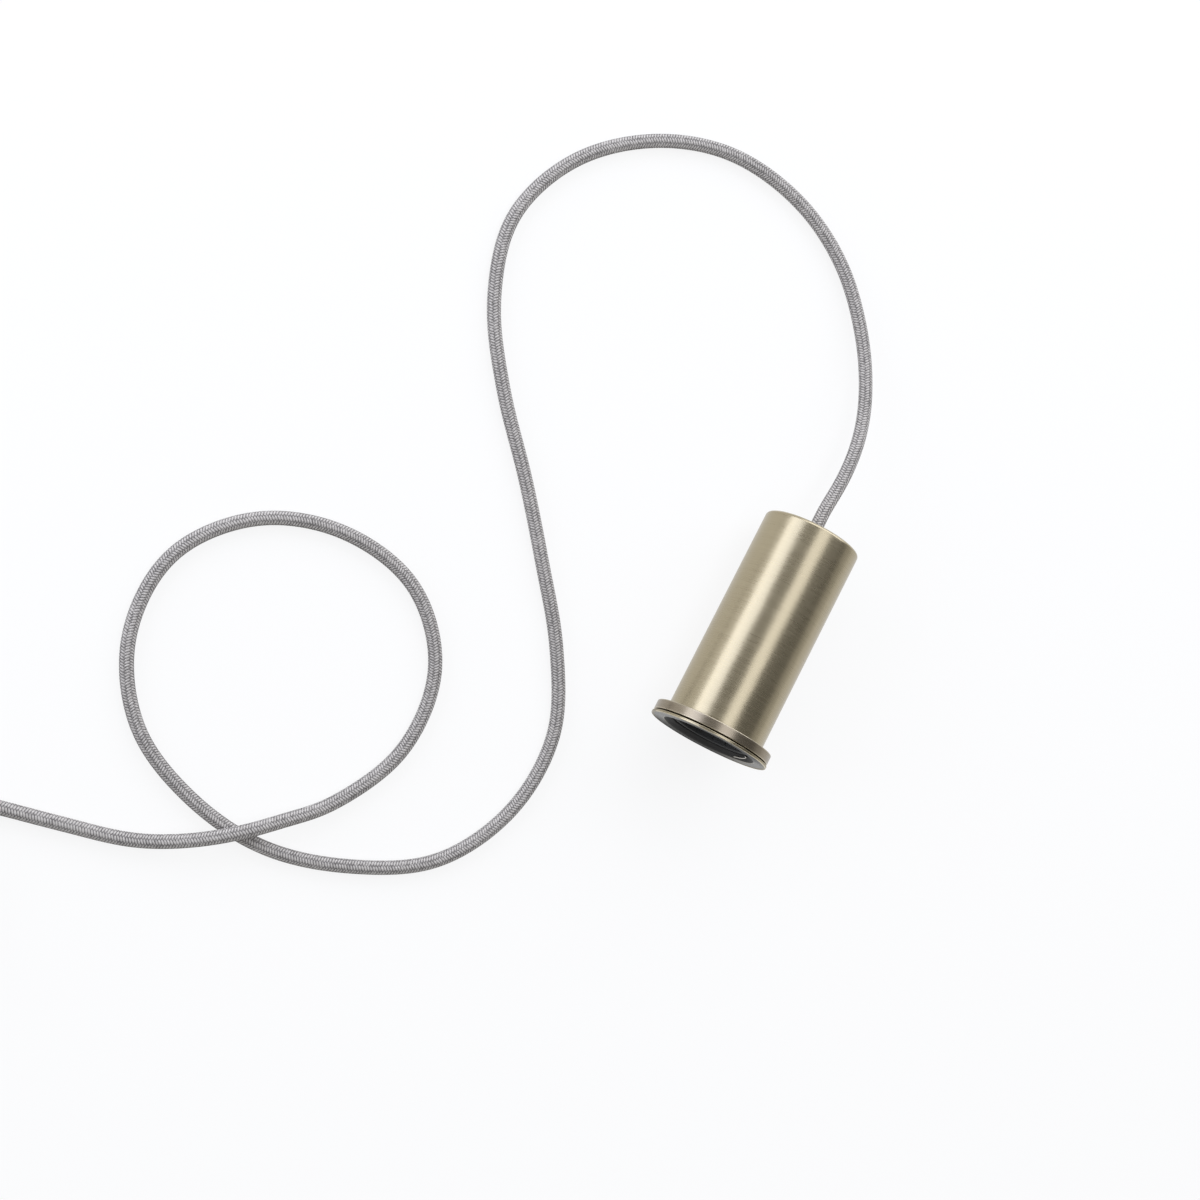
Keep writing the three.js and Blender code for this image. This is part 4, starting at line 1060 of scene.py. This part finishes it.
def rounded_loop(low, high, radius, step):
    """Points and outward directions round a rectangle with round corners, from the middle of its top."""
    left, bottom = low[0] + radius, low[1] + radius
    right, top = high[0] - radius, high[1] - radius
    corners = [((right, top), 90, 0), ((right, bottom), 0, -90), ((left, bottom), -90, -180),
               ((left, top), 180, 90)]
    loop = []
    middle = (low[0] + high[0]) / 2
    for s in stations(middle, right, step):
        loop.append(((s, high[1]), (0, 1)))
    for i, (centre, start, end) in enumerate(corners):
        for angle in np.radians(np.linspace(start, end, 7)):
            out = (math.cos(angle), math.sin(angle))
            loop.append(((centre[0] + radius * out[0], centre[1] + radius * out[1]), out))
        out = loop[-1][1]
        here = loop[-1][0]
        if i < 3:
            following, angle = corners[i + 1][0], math.radians(corners[i + 1][1])
            there = (following[0] + radius * math.cos(angle), following[1] + radius * math.sin(angle))
        else:
            there = (middle, high[1])
        span = math.dist(here, there)
        for s in stations(0, span, step)[1:-1]:
            across = here[0] + (there[0] - here[0]) * s / span
            up = here[1] + (there[1] - here[1]) * s / span
            loop.append(((across, up), out))
    return loop


def tie_frame(cord):
    """Matrix from the tie's own frame, X out from the coil's middle and Z up, to the row frame."""
    return Matrix.Translation((cord.coil_x, cord.coil_y, 0)) @ Matrix.Rotation(cord.tie_angle, 4, "Z")


def tie_mesh():
    """Strap that goes once round the bundle and over its own start."""
    cord = settings().cord
    half, thick = cord.tie_width / 2, cord.tie_thickness
    inside = cord.coil_radius - HALF_BUNDLE * cord.coil_pitch
    outside = cord.coil_radius + HALF_BUNDLE * cord.coil_pitch
    low = (math.sqrt(inside ** 2 - half ** 2) - SEAT_GAP, thick)
    high = (outside + SEAT_GAP, cord.coil_lift + 2 * cord.coil_pitch + SEAT_GAP)
    loop = rounded_loop(low, high, cord.tie_bend, 0.0012)
    second_layer = thick + 0.0001
    start_over = len(loop) - 8
    end_over = len(loop) - 1
    soft = 0.00025
    section = [(-half, -thick / 2 + soft), (-half + soft, -thick / 2), (half - soft, -thick / 2),
               (half, -thick / 2 + soft), (half, thick / 2 - soft), (half - soft, thick / 2),
               (-half + soft, thick / 2), (-half, thick / 2 - soft)]
    rings = []
    for i in range(len(loop) + len(loop) // 3):
        (across, up), out = loop[i % len(loop)]
        off = thick / 2 + second_layer * smooth_share(i, start_over, end_over)
        rings.append([(across + out[0] * (off + rise), wide, up + out[1] * (off + rise))
                      for wide, rise in section])
    mesh = lofted_mesh("tie", rings, [wide for wide, _ in [*section, section[0]]], 50)
    mesh.transform(tie_frame(cord))
    return mesh


def stitch_mesh(look):
    """Stitches that hold the strap's start, on the outside of the bundle."""
    cord = settings().cord
    margin = 0.0015
    outside = cord.coil_radius + HALF_BUNDLE * cord.coil_pitch + SEAT_GAP
    mesh = nodes_mesh(stitches_group(), {
        "Length": 0.005, "Width": cord.tie_width - 2 * margin, "Spacing": 0.0011,
        "Stitch": (0.0009, 0.0004, 0.0003), "Material": look})
    height = cord.coil_lift + cord.coil_pitch
    face = outside + 2 * cord.tie_thickness + 0.0001
    onto_side = Matrix.Rotation(math.radians(90), 4, "Y")
    mesh.transform(tie_frame(cord) @ Matrix.Translation((face, 0, height)) @ onto_side)
    mesh.shade_smooth()
    return mesh


def sleeve_mesh():
    """Shrunk sleeve over the end of the braid, narrower where the sheath goes on."""
    end = settings().end
    bore = settings().cord.radius + SEAT_GAP
    wide, narrow, length = end.sleeve_radius, end.sheath_radius, end.sleeve_length
    edge = 0.0002
    ripple, ripple_turns = 0.00003, 4200
    profile = [(bore, 0.0), (wide - edge, 0.0), (wide, edge)]
    for s in stations(0.001, length - 0.0004, 0.0008):
        shrunk = (wide - narrow) * smooth_share(s, end.overlap - 0.001, length - 0.005)
        profile.append((wide - shrunk + ripple * math.sin(s * ripple_turns), s))
    profile += [(narrow - 2 * edge, length), (0.0, length), (0.0, end.overlap), (bore, end.overlap)]
    return turned_mesh("sleeve", profile, segments=48)


def end_core_mesh(name, side):
    """Core that fans out of the sleeve and comes down to the floor at its ferrule."""
    end = settings().end
    start = end.sleeve_length + SEAT_GAP
    drop = end.sleeve_radius - end.collar_radius
    near = side * (2 * end.core_radius + SEAT_GAP)
    far = near + side * end.fan
    # Across, share of the length, and share of the drop
    bends = [(near * 0.95, 0.0, 0.0), (near, 0.15, 0.1), ((near + far) / 2, 0.5, 0.7), (far, 0.86, 1.0),
             (far, 1.0, 1.0)]
    points = [(across, start + along * end.core_length, -down * drop) for across, along, down in bends]
    return tube_mesh(name, along_curve(points, 0.0007), end.core_radius, 20)


def ferrule_mesh(side, collar_look, pin_look):
    """Moulded collar with a tinned pin that is crimped in four places."""
    end = settings().end
    collar, pin = end.collar_radius, end.pin_radius
    start = end.sleeve_length + end.core_length + 2 * SEAT_GAP
    collar_end = start + end.collar_length
    pin_end = collar_end + end.pin_length
    crimp, crimp_turns = 0.00008, 3100
    edge, cone = 0.0002, 0.0015
    profile = [(0.0, start), (collar - edge, start), (collar, start + edge), (collar, collar_end - cone),
               (pin + edge / 2, collar_end), (pin, collar_end + edge / 2)]
    for s in stations(collar_end + 0.0004, pin_end - 0.0002, 0.00025):
        profile.append((pin - crimp * math.sin(s * crimp_turns) ** 2, s))
    profile += [(pin - 0.0001, pin_end), (0.0, pin_end)]
    mesh = turned_mesh("ferrule", profile, segments=32)
    mesh.materials.append(collar_look)
    mesh.materials.append(pin_look)
    for face in mesh.polygons:
        face.material_index = int(face.center.y > collar_end - 0.0001)
    across = side * (end.fan + 2 * end.core_radius + SEAT_GAP)
    mesh.transform(Matrix.Translation((across, 0, end.collar_radius - end.sleeve_radius)))
    return mesh


def soft_light(name, direction, distance, size, brightness, tint):
    """Area light that faces the pendant from a direction."""
    light = bpy.data.lights.new(name, "AREA")
    light.shape = "RECTANGLE"
    light.size, light.size_y = size
    light.energy = brightness * math.pi * size[0] * size[1]
    light.color = tint
    lamp = bpy.data.objects.new(name, light)
    bpy.context.scene.collection.objects.link(lamp)
    away = Vector(direction).normalized()
    lamp.location = away * distance
    lamp.rotation_euler = away.to_track_quat("Z", "Y").to_euler()
    return lamp


def floor_material():
    """White floor that keeps a share of the object's shadow."""

    def build(nodes):
        rays = nodes.add("ShaderNodeLightPath", output="Is Camera Ray")
        seen = rays + rays.output("Is Glossy Ray") + rays.output("Is Transmission Ray")
        share = seen.math("MINIMUM", 1.0) * settings().studio.floor_white
        lit = nodes.add("ShaderNodeBsdfDiffuse", None, {"Color": settings().finishes.floor})
        white = nodes.add("ShaderNodeEmission", None, {"Color": (1, 1, 1, 1), "Strength": 1.0})
        return nodes.add("ShaderNodeMixShader", None, {0: share, 1: lit, 2: white})

    return surface_material("studio_floor", build)


def studio_room():
    """World that is pale near the horizon and darker overhead."""
    studio = settings().studio
    world = bpy.data.worlds.new("studio_room")
    world.use_nodes = True
    nodes = Nodes(world.node_tree)
    across = nodes.parts(nodes.add("ShaderNodeTexCoord", output="Generated"))
    middle = 0.3
    horizon_top, ceiling_edge = 0.25, 0.42
    overhead = nodes.step(across, -middle, middle, studio.near_ceiling, studio.ceiling)
    around = nodes.step(across, -middle, middle, studio.horizon, studio.far_horizon)
    brightness = nodes.step(across.output("Z"), horizon_top, ceiling_edge, around, overhead)
    room = nodes.add("ShaderNodeBackground", None, {"Color": (1, 1, 1, 1), "Strength": brightness})
    nodes.add("ShaderNodeOutputWorld", None, {"Surface": room})
    bpy.context.scene.world = world


class PENDANT_OT_looks(bpy.types.Operator):
    """Gives every CAD node the finish of its slot in the record"""

    bl_idname = "pendant.looks"
    bl_label = "Finishes"

    def execute(self, context):
        finishes = looks()
        for part in frame["record"]["subparts"]:
            node = frame["nodes"][part["node"]]
            node.data.materials.clear()
            node.data.materials.append(finishes[part["material_slot"]])
        return {"FINISHED"}


class PENDANT_OT_cup(bpy.types.Operator):
    """Turned brass cup with its flange and closed end"""

    bl_idname = "pendant.cup"
    bl_label = "Cup"

    def execute(self, context):
        add_piece("brass_cup", place_mesh(cup_mesh()), "satin_brass", ["housing"])
        return {"FINISHED"}


class PENDANT_OT_ring(bpy.types.Operator):
    """Shade ring with its threaded collar, and a bright wire in its mouth that stands for a glint of reflection"""

    bl_idname = "pendant.ring"
    bl_label = "Shade Ring"

    def execute(self, context):
        metal = ring_metal()
        ring = place_mesh(ring_mesh(metal))
        add_piece("screw_on_ring", ring, "satin_brass", ["shade_ring"], "ring", [metal])
        add_piece("wire_clip", place_mesh(glint_wire_mesh()), "nickel", body="ring")
        return {"FINISHED"}


class PENDANT_OT_holder(bpy.types.Operator):
    """Moulded skirt with its ribs and thread, and the rolled screw shell"""

    bl_idname = "pendant.holder"
    bl_label = "Lamp Holder"

    def execute(self, context):
        black, nickel = looks()["black_moulding"], looks()["nickel"]
        add_piece("threaded_skirt", place_mesh(skirt_mesh(black)), "black_moulding", ["lampholder_skirt"])
        add_piece("mouth_ribs", place_mesh(rib_mesh(black)), "black_moulding")
        add_piece("rolled_shell", place_mesh(shell_mesh(nickel)), "nickel", ["screw_shell"])
        return {"FINISHED"}


class PENDANT_OT_bush(bpy.types.Operator):
    """Low bush that the cord leaves the closed end through"""

    bl_idname = "pendant.bush"
    bl_label = "Cord Bush"

    def execute(self, context):
        add_piece("exit_bush", place_mesh(bush_mesh()), "black_moulding", ["cord_bush"])
        return {"FINISHED"}


class PENDANT_OT_tie(bpy.types.Operator):
    """Strap round the coil, with its stitches"""

    bl_idname = "pendant.tie"
    bl_label = "Coil Tie"

    def execute(self, context):
        add_piece("coil_strap", tie_mesh(), "strap", ["cord_tie"])
        thread = moulding("strap_thread", settings().finishes.thread, 0.7)
        add_piece("strap_stitches", stitch_mesh(thread), "strap", finishes=[thread])
        return {"FINISHED"}


class PENDANT_OT_cord_end(bpy.types.Operator):
    """Sleeve, cores and ferrules at the cord's far end"""

    bl_idname = "pendant.cord_end"
    bl_label = "Wired End"

    def execute(self, context):
        collar = looks()["ferrule"]
        tin = plated("tinned_pin", settings().finishes.tin, 0.35)
        place = end_frame(*cord_line())
        sleeve = sleeve_mesh()
        sleeve.transform(place)
        add_piece("shrunk_sleeve", sleeve, "black_moulding", ["end_sleeve"])
        for conductor, side, slot in (("live", -1, "brown_insulation"), ("neutral", 1, "blue_insulation"),
                                      ("earth", 0, "earth_insulation")):
            core = end_core_mesh(f"{conductor}_end_core", side)
            core.transform(place)
            add_piece(f"{conductor}_end_core", core, slot, [f"tail_{conductor}"])
            ferrule = ferrule_mesh(side, collar, tin)
            ferrule.transform(place)
            add_piece(f"{conductor}_end_ferrule", ferrule, "ferrule", [f"{conductor}_ferrule"],
                      finishes=[collar, tin])
        return {"FINISHED"}


class PENDANT_OT_cord(bpy.types.Operator):
    """Braided cord from the bush to its end"""

    bl_idname = "pendant.cord"
    bl_label = "Braided Cord"

    def execute(self, context):
        cord = settings().cord
        line, _ = cord_line()
        mesh = tube_mesh("braided_cord", line, cord.radius, cord.sides)
        piece = add_piece("braided_cord", mesh, "braid", ["cord", "cord_coil", "cord_tail"])
        on_cord = ["coil_strap", "strap_stitches", "shrunk_sleeve"]
        on_cord += [f"{conductor}_end_{kind}" for conductor in ("live", "neutral", "earth")
                    for kind in ("core", "ferrule")]
        tuple(line[0])
        [tuple(point) for point in line]
        return {"FINISHED"}


class PENDANT_OT_stage(bpy.types.Operator):
    """Pale floor, soft light and the camera at the photograph's view"""

    bl_idname = "pendant.stage"
    bl_label = "Studio"

    def execute(self, context):
        studio = settings().studio
        half = 20.0
        mesh = bpy.data.meshes.new("studio_floor")
        mesh.from_pydata([(-half, -half, 0), (half, -half, 0), (half, half, 0), (-half, half, 0)], [],
                         [(0, 1, 2, 3)])
        mesh.materials.append(floor_material())
        floor = bpy.data.objects.new("studio_floor", mesh)
        context.scene.collection.objects.link(floor)
        studio_room()
        soft_light("key_light", direction=(-0.90, 0.05, 0.415), distance=1.3, size=(1.4, 0.76),
                   brightness=studio.key, tint=studio.key_tint)
        soft_light("top_light", direction=(0.015, 0.08, 1.0), distance=1.5, size=(0.70, 1.5),
                   brightness=studio.top, tint=studio.tint)
        soft_light("back_light", direction=(0.05, 0.85, 0.62), distance=1.5, size=(2.8, 1.0),
                   brightness=studio.back, tint=studio.tint)
        camera = bpy.data.cameras.new("camera")
        camera.lens = studio.lens
        camera.sensor_width = 36
        viewer = bpy.data.objects.new("camera", camera)
        viewer.location = studio.camera_place
        viewer.rotation_euler = studio.camera_turn
        context.scene.collection.objects.link(viewer)
        context.scene.camera = viewer
        context.scene.view_settings.view_transform = "Standard"
        return {"FINISHED"}


class PENDANT_PT_panel(bpy.types.Panel):
    """Sizes, colours and the steps that build the pendant cord set"""

    bl_label = "Pendant Cord Set"
    bl_idname = "PENDANT_PT_panel"
    bl_space_type = "VIEW_3D"
    bl_region_type = "UI"
    bl_category = "Pendant"

    def draw(self, context):
        for operator in OPERATORS:
            self.layout.operator(operator.bl_idname)
        for group in PendantSettings.__annotations__:
            box = self.layout.box()
            box.label(text=group.capitalize())
            values = getattr(settings(), group)
            for name in values.__annotations__:
                box.prop(values, name)


GROUPS = (CupSizes, RingSizes, HolderSizes, CordSizes, EndSizes, Finishes, StudioLevels,
          PendantSettings)
OPERATORS = (PENDANT_OT_looks, PENDANT_OT_cup, PENDANT_OT_ring, PENDANT_OT_holder, PENDANT_OT_bush,
             PENDANT_OT_tie, PENDANT_OT_cord_end, PENDANT_OT_cord, PENDANT_OT_stage)


def register():
    for item in (*GROUPS, *OPERATORS, PENDANT_PT_panel):
        bpy.utils.register_class(item)
    bpy.types.Scene.pendant_cord_set = PointerProperty(type=PendantSettings)


def unregister():
    del bpy.types.Scene.pendant_cord_set
    for item in reversed((*GROUPS, *OPERATORS, PENDANT_PT_panel)):
        bpy.utils.unregister_class(item)


def main():
    register()
    for operator in OPERATORS:
        group, name = operator.bl_idname.split(".")
        getattr(getattr(bpy.ops, group), name)()


if __name__ == "__main__":
    main()
